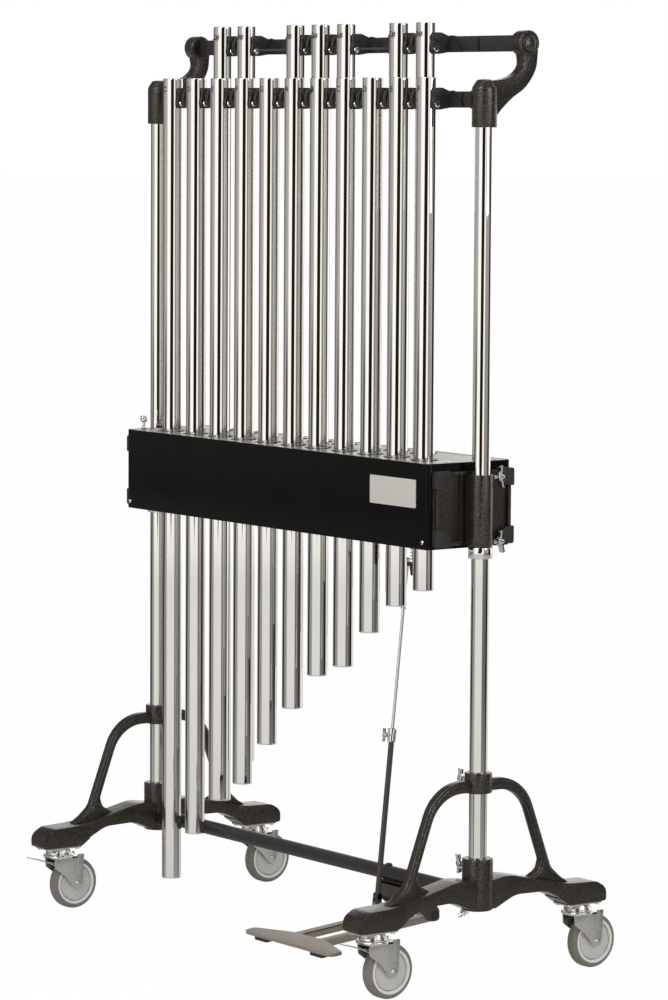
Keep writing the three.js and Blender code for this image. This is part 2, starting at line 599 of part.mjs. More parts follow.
// Bell crank in its own frame: origin on the pivot, its pin above and its slotted foot behind
function makeCrank() {
  const half = crank.thickness / 2;
  const under = crankFoot.rise - crankFoot.thickness;
  const tailFoot = under - crankTail.drop;
  const upper = rounded([
    [-crank.hub, 0, 0],
    [crank.hub, 0, 0],
    [crank.pin + fit, crank.pinArm + crank.pin, crank.pin],
    [-crank.pin - fit, crank.pinArm + crank.pin, crank.pin],
  ]);
  const lower = rounded([
    [0, -crank.hub, 0],
    [crankFoot.front + fit, under, 0],
    [crankFoot.front + fit, crankFoot.rise, 0],
    [0, crank.hub, 0],
  ]);
  const tail = rounded([
    [crankTail.start, under + fit, 0],
    [crankTail.end - crankTail.thickness, tailFoot, crankTail.thickness / 3],
    [crankTail.end, tailFoot + crankTail.thickness / 2, crankTail.thickness / 3],
    [crankFoot.rear, under + fit, 0],
  ]);
  const reach = crankPivot.gap + crankPivot.cheek + fit;
  const body = joined([
    slab('x', upper, -half, half),
    slab('x', lower, -half, half),
    slab('x', tail, -crankTail.width / 2, crankTail.width / 2),
    cylinder('x', [0, 0], crank.hub, fit - crankPivot.gap, crankPivot.gap - fit, pinSides),
    cylinder('x', [0, 0], crankPivot.radius, -reach, reach, pinSides),
    cylinder('x', [0, crank.pinArm], crank.pin, 0, crank.pinReach, smallSides),
    block([-crankFoot.width / 2, crankFoot.front, under],
      [crankFoot.width / 2, crankFoot.rear, crankFoot.rise]),
  ]);
  const rodHalf = thinRod.radius + fit;
  const slot = rectangle(-rodHalf, crankSlot.front, rodHalf, crankSlot.rear, thinRod.radius);
  return cut(body, [slab('z', slot, under - overrun, crankFoot.rise + overrun)]);
}

// Return spring: hangs from the box floor and pulls the crank's foot up. One unbroken wire.
function makeSpring() {
  const stepsPerTurn = 8;
  const wireSides = 5;
  const bottom = crank.z + crankFoot.rise + fit;
  const top = floorBottom - fit;
  const pitch = (top - bottom - 2 * spring.straight) / springTurns;
  const points = [new THREE.Vector3(spring.coil, 0, bottom)];
  for (let i = 0; i <= springTurns * stepsPerTurn; i += 1) {
    const angle = (2 * Math.PI * i) / stepsPerTurn;
    const z = bottom + spring.straight + (pitch * i) / stepsPerTurn;
    points.push(new THREE.Vector3(spring.coil * Math.cos(angle), spring.coil * Math.sin(angle), z));
  }
  points.push(new THREE.Vector3(spring.coil, 0, top));
  let least = Infinity;
  points.forEach((p, i) => points.slice(i + stepsPerTurn / 2).forEach((q) => {
    least = Math.min(least, p.distanceTo(q) - 2 * spring.wire);
  }));
  console.log(`return spring: least gap between turns ${least.toFixed(2)} mm`);
  const places = [];
  const faces = [];
  let normal = new THREE.Vector3(1, 0, 0);
  points.forEach((point, i) => {
    const straight = i < 2 || i + 2 >= points.length;
    const ahead = points[Math.min(i + 1, points.length - 1)];
    const behind = points[Math.max(i - 1, 0)];
    const along = straight ? new THREE.Vector3(0, 0, 1) : ahead.clone().sub(behind).normalize();
    normal = normal.clone().addScaledVector(along, -normal.dot(along)).normalize();
    const across = along.clone().cross(normal);
    for (let k = 0; k < wireSides; k += 1) {
      const angle = (2 * Math.PI * k) / wireSides;
      const corner = point.clone().addScaledVector(normal, spring.wire * Math.cos(angle));
      places.push(...corner.addScaledVector(across, spring.wire * Math.sin(angle)).toArray());
    }
  });
  for (let i = 0; i + 1 < points.length; i += 1) {
    for (let k = 0; k < wireSides; k += 1) {
      const [a, b] = [i * wireSides + k, i * wireSides + ((k + 1) % wireSides)];
      faces.push(a, b, b + wireSides, a, b + wireSides, a + wireSides);
    }
  }
  const last = (points.length - 1) * wireSides;
  for (let k = 1; k + 1 < wireSides; k += 1) {
    faces.push(0, k + 1, k, last, last + k, last + k + 1);
  }
  const geometry = new THREE.BufferGeometry();
  geometry.setAttribute('position', new THREE.Float32BufferAttribute(places, 3));
  geometry.setIndex(faces);
  return solid(geometry);
}

// Pedal in its own frame: origin on the pivot, arms running forward to the foot plate
function makePedal() {
  const half = pedal.thickness / 2;
  const near = pedal.depth - pedal.length;
  const armStart = near - pedal.corner;
  const outline = rectangle(-pedal.width / 2, -pedal.length, pedal.width / 2, near, pedal.corner, 1);
  const under = half - pedalArm.height;
  const arms = [-1, 1].flatMap((side) => [
    sideBlock(side, [pedalArm.inner, armStart, half - pedalArm.wall], [pedalArm.outer, 0, half]),
    sideBlock(side, [pedalArm.outer - pedalArm.wall, armStart, under], [pedalArm.outer, 0, half]),
    sideBlock(side, [pedalArm.inner, armStart, under], [pedalArm.inner + pedalArm.wall, 0, half]),
    sideSlab(side, polygon([0, 0], pedalArm.hub, pinSides), pedalArm.inner, pedalArm.outer),
  ]);
  const clevis = new THREE.Vector2(linkRod.bottomY - pedal.y, linkRod.bottomZ - pedal.z)
    .rotateAround(new THREE.Vector2(), -THREE.MathUtils.degToRad(pedalSlopeDegrees));
  const earX = crankX - pedalX;
  const earFoot = pedalArm.bridge / 2;
  const ear = rounded([
    [clevis.x - earFoot, 0, 0],
    [clevis.x + earFoot, 0, 0],
    [clevis.x + pedalEar.radius, clevis.y + pedalEar.radius, pedalEar.radius],
    [clevis.x - pedalEar.radius, clevis.y + pedalEar.radius, pedalEar.radius],
  ]);
  const bridge = block([-pedalArm.inner - fit, clevis.x - earFoot, half - pedalArm.wall],
    [pedalArm.inner + fit, clevis.x + earFoot, half]);
  const padOuter = pedal.width / 2 - pedalPad.inset;
  const padFront = pedalPad.inset / 2 - pedal.length;
  const pads = [-1, 1].map((side) => (
    sideBlock(side, [padOuter - pedalPad.width, padFront, -half - pedalPad.thickness],
      [padOuter, padFront + pedalPad.depth, fit - half])));
  const body = joined([
    slab('z', outline, -half, half),
    ...arms,
    bridge,
    ...pads,
    slab('x', polygon([0, 0], pedalArm.sleeve, pinSides), -pedalArm.outer, pedalArm.outer),
    slab('x', ear, earX - pedalEar.thickness / 2, earX + pedalEar.thickness / 2),
    cylinder('x', clevis.toArray(), pedalEar.pin, earX - pedalEar.pinHalf, earX + pedalEar.pinHalf,
      smallSides),
  ]);
  const reach = pedalArm.outer + overrun;
  return cut(body, [bored('x', [0, 0], pedalPin.radius + fit, -reach, reach)]);
}

// Pedal bracket: an inverted channel under the crossbar whose cheeks carry the pedal's pivot pin
function makePedalBracket() {
  const inner = pedalArm.outer + pedalPin.gap;
  const outer = inner + pedalPin.cheek;
  const top = crossbarZ - crossbar.radius - fit;
  const bottom = top - hangBracket.height;
  const half = hangBracket.depth / 2;
  const boss = hangBracket.boss;
  const cheek = rounded([
    [-half, top, 0],
    [-half, bottom, hangBracket.wall],
    [pedal.y - boss, pedal.z - boss, boss],
    [pedal.y + boss, pedal.z - boss, boss * 0.8],
    [pedal.y + boss, pedal.z + boss, boss * 0.8],
    [half, top, 0],
  ]);
  return joined([
    slab('x', cheek, pedalX - outer, pedalX - inner),
    slab('x', cheek, pedalX + inner, pedalX + outer),
    block([pedalX - outer, -half, top - hangBracket.wall], [pedalX + outer, half, top]),
    block([pedalX - outer, -half, bottom], [pedalX + outer, -half + hangBracket.wall, top]),
    cylinder('x', [pedal.y, pedal.z], pedalPin.radius, pedalX - outer - fit, pedalX + outer + fit,
      pinSides),
  ]);
}

// Lower rod in its own frame: origin on the clevis pin, +Z up the rod
function makeRodLower() {
  const half = rodFork.gap + rodFork.cheek;
  const forkEnd = rodTube.start + rodFork.block;
  const cheek = rounded([
    [-rodFork.radius, -rodFork.radius, rodFork.radius],
    [rodFork.radius, -rodFork.radius, rodFork.radius],
    [rodFork.radius, forkEnd, 0],
    [-rodFork.radius, forkEnd, 0],
  ]);
  const clampTop = rodTube.end + rodClamp.length;
  const screwZ = rodTube.end + rodClamp.length / 2;
  const body = joined([
    slab('x', cheek, rodFork.gap, half),
    slab('x', cheek, -half, -rodFork.gap),
    block([-half, -rodFork.radius, rodTube.start], [half, rodFork.radius, forkEnd]),
    cylinder('z', [0, 0], rodTube.radius, forkEnd - fit, rodTube.end + fit, pinSides),
    cylinder('z', [0, 0], rodClamp.radius, rodTube.end, clampTop, pinSides),
    cylinder('y', [0, screwZ], rodClamp.boss, -rodClamp.reach, 0, smallSides),
  ]);
  return cut(body, [
    bored('x', [0, 0], pedalEar.pin + fit, -half - overrun, half + overrun, smallSides),
    bored('z', [0, 0], thinRod.radius + fit, clampTop - rodTube.boreDepth, clampTop + overrun, smallSides),
    bored('y', [0, screwZ], rodScrew.radius + fit, -rodClamp.reach - overrun, 0, smallSides),
  ]);
}

function makeRodUpper() {
  const foot = rodTube.end + rodClamp.length - thinRod.insertion;
  const seat = rodLength + 2 * fit;
  const shaft = revolved([
    [0, foot],
    [thinRod.radius, foot],
    [thinRod.radius, seat],
    [thinRod.nut, seat + thinRod.nutCone],
    [thinRod.nut, seat + thinRod.nutHeight],
    [0, seat + thinRod.nutHeight + thinRod.nutCone],
  ], smallSides);
  const pinZ = rodLength - rodPin.drop;
  return shaft.add(cylinder('x', [0, pinZ], rodPin.radius, -rodPin.half, rodPin.half, cordSides));
}

// Leg casting: arched beam with two feet, post socket, upper collar and a splayed brace front and back.
// Outlines are shares of the leg's reach along Y, corner radii included, and of its rise along Z.
const beamShares = [
  [0.14, 0.29, 0.14], [0.66, 0.181, 0.2], [0.93, 0.172, 0.03], [1, 0.125, 0.05], [1, 0, 0.02],
  [0.694, 0, 0.035], [0.5, 0.137, 0.1], [0.28, 0.144, 0.07], [0.09, 0.09, 0],
];
const footShares = [
  [0.64, 0.176, 0], [0.93, 0.172, 0.03], [1, 0.125, 0.05], [1, 0, 0.02], [0.694, 0, 0.035], [0.64, 0.045, 0],
];
const braceShares = [
  [0.05, 0.951, 0], [0.353, 0.951, 0.303], [0.585, 0.293, 0.106], [0.73, 0.16, 0], [0.42, 0.19, 0],
  [0.366, 0.22, 0], [0.486, 0.286, 0.056], [0.503, 0.353, 0.03], [0.325, 0.869, 0.246], [0.05, 0.869, 0],
];

function legOutline(shares, steps) {
  const corners = shares.map(([y, z, r]) => [y * leg.reach, footBottom + z * leg.rise, r * leg.reach]);
  return rounded(corners, steps);
}

function mirrored(shares) {
  return shares.map(([y, z, r]) => [-y, z, r]).reverse();
}

function makeLeg(side) {
  const collarTop = footBottom + leg.rise;
  const socketBottom = footBottom + legSocket.lift;
  const centre = [side * post.x, 0];
  const wide = leg.footWidth / 2;
  const thin = leg.braceWidth / 2;
  const beam = leg.beamWidth / 2;
  const bossInner = post.x - legSocket.radius - crossbar.bossReach;
  const seatEnd = post.x - legSocket.radius + crossbar.seat;
  const feet = [footShares, mirrored(footShares)].map((shares) => (
    sideSlab(side, legOutline(shares, 1), post.x - wide, post.x + wide)));
  const braces = [braceShares, mirrored(braceShares)].map((shares) => (
    sideSlab(side, legOutline(shares), post.x - thin, post.x + thin)));
  const plates = [casterY, -casterY].map((y) => (
    sideBlock(side, [post.x - caster.plateHalfX, y - caster.plateHalfY, footBottom - caster.plate],
      [post.x + caster.plateHalfX, y + caster.plateHalfY, footBottom + fit])));
  const body = joined([
    sideSlab(side, legOutline([...beamShares, ...mirrored(beamShares)]), post.x - beam, post.x + beam),
    ...feet,
    ...braces,
    ...plates,
    cylinder('z', centre, legSocket.radius, socketBottom, socketBottom + legSocket.height, postSides),
    cylinder('z', centre, legCollar.radius, collarTop - legCollar.height, collarTop, postSides),
    sideSlab(side, polygon([0, crossbarZ], crossbar.boss, pinSides), bossInner, post.x - post.radius - fit),
  ]);
  return cut(body, [
    cylinder('z', centre, post.radius + fit, socketBottom - overrun, collarTop + overrun, postSides),
    sideSlab(side, polygon([0, crossbarZ], crossbar.radius + fit, pinSides), bossInner - overrun, seatEnd),
  ]);
}

function makeCrossbar() {
  const end = post.x - legSocket.radius + crossbar.seat - fit;
  const shape = ring(polygon([0, crossbarZ], crossbar.radius, pinSides),
    polygon([0, crossbarZ], crossbar.radius - crossbar.wall, pinSides));
  return slab('x', shape, -end, end);
}

// Caster fork in its own frame: origin on the floor under the swivel axis, wheel trailing toward +Y
function makeFork(braked) {
  const inner = wheel.width / 2 + fork.sideGap;
  const outer = inner + fork.side;
  const axle = [caster.trail, wheel.radius];
  const eye = fork.nut + fork.side;
  const head = revolved([
    [0, crownBottom + fit],
    [caster.head * 0.8, crownBottom + fit],
    [caster.head, crownTop + fork.crown],
    [caster.head, crownTop + 2 * fork.crown],
    [caster.head * 0.7, forkTop],
    [0, forkTop],
  ], postSides);
  const side = rounded([
    [-caster.head * 0.72, crownTop, 0],
    [-caster.head * 0.66, crownTop - 2 * caster.headHeight, caster.headHeight / 2],
    [caster.trail - eye, wheel.radius - eye * 0.4, 0],
    [caster.trail - eye * 0.4, wheel.radius - eye, 0],
    [caster.trail + eye * 0.4, wheel.radius - eye, 0],
    [caster.trail + eye * 1.2, wheel.radius, eye],
    [caster.trail + eye * 1.6, crownTop + fork.ear, 0],
    [caster.trail, crownTop + fork.ear, 0],
    [caster.trail, crownTop, 0],
  ]);
  const parts = [
    head,
    block([-outer, -caster.head * 0.7, crownBottom], [outer, caster.trail + eye, crownTop]),
    slab('x', side, -outer, -inner),
    slab('x', side, inner, outer),
    cylinder('x', axle, fork.axle, -outer, outer, smallSides),
    cylinder('x', axle, fork.nut, outer - fit, outer + fork.nutHeight, cordSides),
    cylinder('x', axle, fork.nut, -outer - fork.nutHeight, fit - outer, cordSides),
  ];
  const brakePin = [-brake.ahead, crownBottom - brake.below];
  if (braked) parts.push(cylinder('x', brakePin, brake.pin, -outer, outer, cordSides));
  return joined(parts);
}

// Wheel about its own axle: a flat facet meets the floor
function makeWheel() {
  const half = wheel.width / 2;
  const face = half - wheel.hubInset;
  const bore = (fork.axle + fit) / Math.cos(Math.PI / roundSides);
  const geometry = new THREE.LatheGeometry([
    [bore, -face],
    [wheel.hub, -face],
    [wheel.hub + wheel.hubInset, -half],
    [wheelTread - wheel.shoulder, -half],
    [wheelTread, -half + wheel.shoulder],
    [wheelTread, half - wheel.shoulder],
    [wheelTread - wheel.shoulder, half],
    [wheel.hub + wheel.hubInset, half],
    [wheel.hub, face],
    [bore, face],
    [bore, -face],
  ].map(([r, h]) => new THREE.Vector2(r, h)), roundSides);
  geometry.rotateY(Math.PI / roundSides);
  geometry.rotateZ(Math.PI / 2);
  return solid(geometry);
}

// Brake tongue in the fork's frame: a bent strip on a cross pin, with a shoe above the tyre
function makeBrake() {
  const z = crownBottom - brake.below;
  const y = -brake.ahead;
  const half = brake.width / 2;
  const strip = new THREE.Shape([
    new THREE.Vector2(y, z - brake.hub),
    new THREE.Vector2(y, z),
    new THREE.Vector2(y - brake.reach, z + brake.lift),
    new THREE.Vector2(y - brake.reach, z + brake.lift - brake.thickness),
    new THREE.Vector2(y - brake.hub, z - brake.thickness),
  ]);
  const shoe = new THREE.Shape([
    new THREE.Vector2(y, z),
    new THREE.Vector2(y + brake.hub, z),
    new THREE.Vector2(y + brake.shoe, z + brake.hub),
    new THREE.Vector2(y, z + brake.hub),
  ]);
  const body = joined([
    slab('x', strip, -half, half),
    slab('x', shoe, -half, half),
    cylinder('x', [y, z], brake.hub, -half, half, smallSides),
  ]);
  return cut(body, [bored('x', [y, z], brake.pin + fit, -brake.width, brake.width, cordSides)]);
}

// Assembly
const bells = new THREE.Group();
const place = (piece, x, y, z, parent = bells) => {
  piece.position.set(x, y, z);
  parent.add(piece);
  return piece;
};
const addTubes = (row, tubes) => tubes.forEach(({ name, pitchShare, lengthShare }) => (
  place(mesh(name, makeTube(lengthShare * naturalRow.top), chrome), pitchShare * rowPitch, row.y, row.top)));

addTubes(naturalRow, naturalTubes);
addTubes(accidentalRow, accidentalTubes);

[['left', -1], ['right', 1]].forEach(([name, side]) => {
  const tip = post.radius + fit;
  const x = side * post.x;
  bells.add(mesh(`post_${name}`, makePost(side), chrome));
  bells.add(mesh(`end_casting_${name}`, makeEndCasting(side), hammered));
  bells.add(mesh(`box_bracket_${name}`, makeBracket(side), hammered));
  bells.add(mesh(`leg_${name}`, makeLeg(side), hammered));
  place(mesh(`wing_screw_${name}_upper`, makeWingScrew(wingScrew, tip), chrome), x, 0, upperScrewZ);
  place(mesh(`wing_screw_${name}_lower`, makeWingScrew(wingScrew, tip), chrome), x, 0, lowerScrewZ);
  [['front', -1], ['rear', 1]].forEach(([end, toward]) => {
    const y = toward * casterY;
    place(mesh(`caster_fork_${end}_${name}`, makeFork(toward < 0), zinc), x, y, 0);
    place(mesh(`caster_wheel_${end}_${name}`, makeWheel(), wheelGrey), x, y + caster.trail, wheel.radius);
    if (toward < 0) place(mesh(`caster_brake_${name}`, makeBrake(), zinc), x, y, 0);
  });
});

const naturalEnd = post.x - socket.radius - rail.pad - fit;
const accidentalEnd = post.x - arm.ballThickness / 2 - fit;
const lowRail = makeRail(naturalRow, naturalTubes, naturalCordZ, naturalRailY, naturalEnd);
const highRail = makeRail(accidentalRow, accidentalTubes, accidentalCordZ, accidentalRailY, accidentalEnd);
bells.add(mesh('rail_natural', lowRail, railPaint));
bells.add(mesh('rail_accidental', highRail, railPaint));
bells.add(mesh('cord_natural', makeCord(naturalRow, naturalTubes, naturalCordZ), cordFibre));
bells.add(mesh('cord_accidental', makeCord(accidentalRow, accidentalTubes, accidentalCordZ), cordFibre));

bells.add(mesh('box_shell', makeShell(), boxPaint));
bells.add(mesh('box_lid', makeLid(), lidPaint));
bells.add(mesh('box_floor', makeFloor(), boxPaint));
bells.add(mesh('damper_carriage', makeCarriage(), aluminium));
bells.add(mesh('damper_felt_natural', makeFelt(naturalFeltFront), feltCloth));
bells.add(mesh('damper_felt_accidental', makeFelt(accidentalFeltFront), feltCloth));
place(mesh('damper_knob', makeKnob(), chrome), knobX, knob.y, lidTop);
place(mesh('damper_crank', makeCrank(), rodPaint), crankX, crank.y, crank.z);
place(mesh('damper_spring', makeSpring(), zinc), crankX, spring.y, 0);

place(mesh('pedal', makePedal(), rodPaint), pedalX, pedal.y, pedal.z)
  .rotation.set(THREE.MathUtils.degToRad(pedalSlopeDegrees), 0, 0);
bells.add(mesh('pedal_bracket', makePedalBracket(), rodPaint));
bells.add(mesh('crossbar', makeCrossbar(), railPaint));

const rod = place(new THREE.Group(), crankX, linkRod.bottomY, linkRod.bottomZ);
rod.rotation.set(-rodTilt, 0, 0);
rod.add(mesh('rod_lower', makeRodLower(), rodPaint));
rod.add(mesh('rod_upper', makeRodUpper(), chrome));
const clampScrew = mesh('rod_clamp_screw', makeWingScrew(rodScrew, thinRod.radius + fit), chrome);
place(clampScrew, 0, 0, rodTube.end + rodClamp.length / 2, rod).rotation.set(0, 0, Math.PI);

// The origin lies on the floor at the middle of the whole footprint
bells.position.y = (frontReach - rearReach) / 2;

export default bells;
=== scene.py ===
# %% [markdown]
# # Orchestral tubular bells
# Eighteen chrome tubes hang on two cords in a rolling frame. A long black box lies across them and holds the
# dampers, and a pedal near the floor works the dampers through a rod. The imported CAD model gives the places
# and the joints. This script dresses it: round and soft-edged pieces replace the plain solids, and every
# surface gets a finish. Sizes are in millimetres here and become metres when a piece is finished.

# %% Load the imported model
import math
import bmesh
import bpy
from mathutils import Matrix, Vector


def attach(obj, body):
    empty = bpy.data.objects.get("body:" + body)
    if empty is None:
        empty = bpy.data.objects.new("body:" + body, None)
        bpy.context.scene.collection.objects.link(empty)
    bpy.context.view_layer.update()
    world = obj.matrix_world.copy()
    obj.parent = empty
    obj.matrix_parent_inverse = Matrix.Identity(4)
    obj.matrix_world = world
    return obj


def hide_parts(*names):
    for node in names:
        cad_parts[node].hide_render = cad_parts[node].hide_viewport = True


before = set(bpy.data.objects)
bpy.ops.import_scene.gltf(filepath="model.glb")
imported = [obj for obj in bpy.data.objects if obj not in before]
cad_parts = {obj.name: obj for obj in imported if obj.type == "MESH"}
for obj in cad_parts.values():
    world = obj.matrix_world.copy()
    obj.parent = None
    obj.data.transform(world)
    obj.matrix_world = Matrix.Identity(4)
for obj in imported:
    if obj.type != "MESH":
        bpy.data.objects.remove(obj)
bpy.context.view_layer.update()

# %% [markdown]
# ## Camera
# The photograph was taken from the front right with a long lens, a little above the middle. A long lens keeps
# the tubes nearly parallel. Turning by heading, then tilt, then roll is easiest to check, so the camera has
# its place in metres and those three angles in place of a target object.

# %% Camera
viewpoint = (6.178, -4.5654, 1.5686)
heading, tilt, roll = 53.26, 5.44, 0.33
camera_data = bpy.data.cameras.new("camera")
camera_data.sensor_width, camera_data.lens, camera_data.clip_end = 36, 147.31, 200
camera = bpy.data.objects.new("camera", camera_data)
bpy.context.scene.collection.objects.link(camera)
camera.matrix_world = (
    Matrix.Translation(viewpoint)
    @ Matrix.Rotation(math.radians(heading), 4, "Z")
    @ Matrix.Rotation(math.radians(90 - tilt), 4, "X")
    @ Matrix.Rotation(math.radians(roll), 4, "Z")
)
bpy.context.scene.camera = camera
bpy.context.scene.view_settings.view_transform = "Standard"

# %% [markdown]
# ## One way to make nodes
# A finish is a small graph. Each node needs a kind, some settings and some links, so one helper takes all
# three. Colours are picked as sRGB hex values, because that is what a colour picker shows, and Blender wants
# them linear.


# %% Node and colour helpers
def linear(code):
    """sRGB hex to a linear colour with alpha"""
    parts = [int(code[i:i + 2], 16) / 255 for i in (0, 2, 4)]
    return [c / 12.92 if c <= 0.04045 else ((c + 0.055) / 1.055) ** 2.4 for c in parts] + [1.0]


def add(tree, kind, inputs=None, **settings):
    """Adds a node. An input is a value or another node's socket."""
    node = tree.nodes.new(kind)
    for key, value in settings.items():
        setattr(node, key, value)
    for key, value in (inputs or {}).items():
        if isinstance(value, bpy.types.NodeSocket):
            tree.links.new(value, node.inputs[key])
        else:
            node.inputs[key].default_value = value
    return node


def surface(name, code, metallic, roughness, **sockets):
    """A material with one shader, its steady values on the shader's own sockets"""
    material = bpy.data.materials.new(name)
    material.use_nodes = True
    tree = material.node_tree
    tree.nodes.clear()
    values = {"Base Color": linear(code), "Metallic": metallic, "Roughness": roughness}
    values.update({key.replace("_", " "): value for key, value in sockets.items()})
    shader = add(tree, "ShaderNodeBsdfPrincipled", values)
    add(tree, "ShaderNodeOutputMaterial", {"Surface": shader.outputs["BSDF"]})
    place = add(tree, "ShaderNodeTexCoord").outputs["Object"]
    return material, tree, shader, place


# %% [markdown]
# ## Studio
# Chrome has no look of its own: it shows the room. The photograph's tubes are white with dark streaks, which
# come from dark flags that stand round the camera. So the world is plain white for the camera and for soft
# light, and only mirror-like reflections see it as a room of greys with flags in it. A ramp over the heading
# gives the greys.

# %% Greys of the reflected room
world = bpy.data.worlds.new("studio")
bpy.context.scene.world = world
world.use_nodes = True
sky = world.node_tree
sky.nodes.clear()
direction = add(sky, "ShaderNodeTexCoord").outputs["Generated"]
split = add(sky, "ShaderNodeSeparateXYZ", {"Vector": direction})
height = split.outputs["Z"]
turn_angle = add(sky, "ShaderNodeMath", {0: split.outputs["Y"], 1: split.outputs["X"]}, operation="ARCTAN2")
share = add(sky, "ShaderNodeMapRange", {"Value": turn_angle.outputs[0], "From Min": -math.pi,
                                        "From Max": math.pi})
bands = add(sky, "ShaderNodeValToRGB", {"Fac": share.outputs[0]})
# Heading in degrees from +X and grey level of the reflected room
band_stops = [
    (-180, 0.13), (-160, 0.13), (-150, 0.33), (-125, 0.39), (-103, 0.45), (-96, 1.0), (-12, 1.0), (-6, 0.36),
    (38, 0.34), (44, 0.02), (66, 0.02), (74, 1.0), (146, 1.0), (158, 0.13),
]
warmth = (1, 0.99, 0.975)
ramp = bands.color_ramp
while len(ramp.elements) > 1:
    ramp.elements.remove(ramp.elements[-1])
for number, (angle, grey) in enumerate(band_stops):
    spot = ramp.elements[0] if number == 0 else ramp.elements.new((angle + 180) / 360)
    spot.position = (angle + 180) / 360
    spot.color = (*(grey * channel for channel in warmth), 1)
print("stops in the room's ramp:", len(ramp.elements))

# %% [markdown]
# A real flag leans or is cut narrower towards one end, and its foot is lost in the dark. So its heading, its
# half width and its darkness each have a value low down and one high up, and change between two heights. The
# flag beside the camera comes first: it tapers out along each tube. Two more stand low in the room.

# %% Flags of the reflected room
flag_tone, flag_edge = linear("20180f"), 0.02
# Heading and half width in degrees, then darkness, each as (low down, high up, lower height, upper height)
flags = (
    ((-48, -40, -0.105, 0.01), (-2, 18, -0.108, -0.086), (1, 1, -0.12, -0.03)),
    ((33, 33, -0.12, -0.07), (40, 40, -0.12, -0.07), (0.5, 0, -0.12, -0.03)),
    ((-150, -118, -0.12, -0.07), (11, 11, -0.12, -0.07), (0.9, 0, -0.065, -0.045)),
)
room = bands.outputs["Color"]
for flag in flags:
    middle, half, depth = [
        add(sky, "ShaderNodeMapRange", {"Value": height, "From Min": low, "From Max": high,
                                        "To Min": unit(at_low), "To Max": unit(at_high)}).outputs[0]
        for unit, (at_low, at_high, low, high) in zip((math.radians, math.radians, float), flag)]
    off_middle = add(sky, "ShaderNodeMath", {0: turn_angle.outputs[0], 1: middle}, operation="SUBTRACT")
    distance = add(sky, "ShaderNodeMath", {0: off_middle.outputs[0]}, operation="ABSOLUTE")
    beyond = add(sky, "ShaderNodeMath", {0: distance.outputs[0], 1: half}, operation="SUBTRACT")
    mask = add(sky, "ShaderNodeMapRange", {"Value": beyond.outputs[0], "From Min": -flag_edge,
                                           "From Max": flag_edge, "To Min": 1.0, "To Max": 0.0})
    dark = add(sky, "ShaderNodeMath", {0: mask.outputs[0], 1: depth}, operation="MULTIPLY")
    room = add(sky, "ShaderNodeMix", {0: dark.outputs[0], 6: room, 7: flag_tone}, data_type="RGBA").outputs[2]

# %% Dusk and floor of the reflected room
# Below the horizon the light falls off, and further down the pale floor takes the room's place
for colour, most, low, high in (("000000", 0.3, -0.115, -0.095), ("b5b4b0", 0.75, -0.22, -0.14)):
    fade = add(sky, "ShaderNodeMapRange", {"Value": height, "From Min": low, "From Max": high, "To Min": most,
                                           "To Max": 0.0})
    room = add(sky, "ShaderNodeMix", {0: fade.outputs[0], 6: room, 7: linear(colour)},
               data_type="RGBA").outputs[2]

# %% World for reflections, soft light and the camera
# Strength of the world's soft light, and what mirror-like reflections get on top of plain strength
soft_light, mirror_gain = 0.62, 0.35
path = add(sky, "ShaderNodeLightPath")
seen = add(sky, "ShaderNodeMix", {0: path.outputs["Is Glossy Ray"], 6: (1, 1, 1, 1), 7: room},
           data_type="RGBA")
level = add(sky, "ShaderNodeMapRange", {"Value": path.outputs["Is Diffuse Ray"], "To Min": 1.0,
                                        "To Max": soft_light})
level = add(sky, "ShaderNodeMath", {0: path.outputs["Is Glossy Ray"], 1: mirror_gain, 2: level.outputs[0]},
            operation="MULTIPLY_ADD")
glow = add(sky, "ShaderNodeBackground", {"Color": seen.outputs[2], "Strength": level.outputs[0]})
add(sky, "ShaderNodeOutputWorld", {"Surface": glow.outputs[0]})

# %% [markdown]
# The floor is one pale sheet of paper, 90 m in radius. To the camera it is nearly all glow, so it fades into
# the white behind it, and the small lit share keeps the shadow under the wheels. The chrome doesn't see it,
# because the reflected room has its own floor. Two big soft lamps shape the castings.

# %% Floor and lamps
paper_radius, glow_share = 90, 0.985
floor_paper, tree, shader, place = surface("white_seamless_paper", "f4f3f1", 0.0, 0.9)
path = add(tree, "ShaderNodeLightPath")
paper_glow = add(tree, "ShaderNodeEmission", {"Color": (1, 1, 1, 1), "Strength": 1.0})
camera_share = add(tree, "ShaderNodeMath", {0: path.outputs["Is Camera Ray"], 1: glow_share},
                   operation="MULTIPLY")
mixed = add(tree, "ShaderNodeMixShader", {0: camera_share.outputs[0], 1: shader.outputs[0],
                                          2: paper_glow.outputs[0]})
tree.links.new(mixed.outputs[0], tree.nodes["Material Output"].inputs["Surface"])
sheet = bmesh.new()
bmesh.ops.create_circle(sheet, cap_ends=True, segments=96, radius=paper_radius)
paper_mesh = bpy.data.meshes.new("floor")
sheet.to_mesh(paper_mesh)
floor = bpy.data.objects.new("floor", paper_mesh)
floor.data.materials.append(floor_paper)
bpy.context.scene.collection.objects.link(floor)
floor.visible_glossy = False


def lamp(name, spot, target, size, watts):
    """A soft lamp at spot that faces target, in metres"""
    data = bpy.data.lights.new(name, "AREA")
    data.shape = "RECTANGLE"
    data.size, data.size_y = size
    data.energy = watts
    item = bpy.data.objects.new(name, data)
    bpy.context.scene.collection.objects.link(item)
    item.location = spot
    item.rotation_euler = (Vector(target) - Vector(spot)).to_track_quat("-Z", "Y").to_euler()


lamp("key_softbox", (1.5, -4.2, 3.6), (0, 0, 0.9), (2.4, 1.8), 95)
lamp("side_softbox", (5.0, 1.0, 2.4), (0.3, 0, 0.8), (1.6, 2.4), 55)

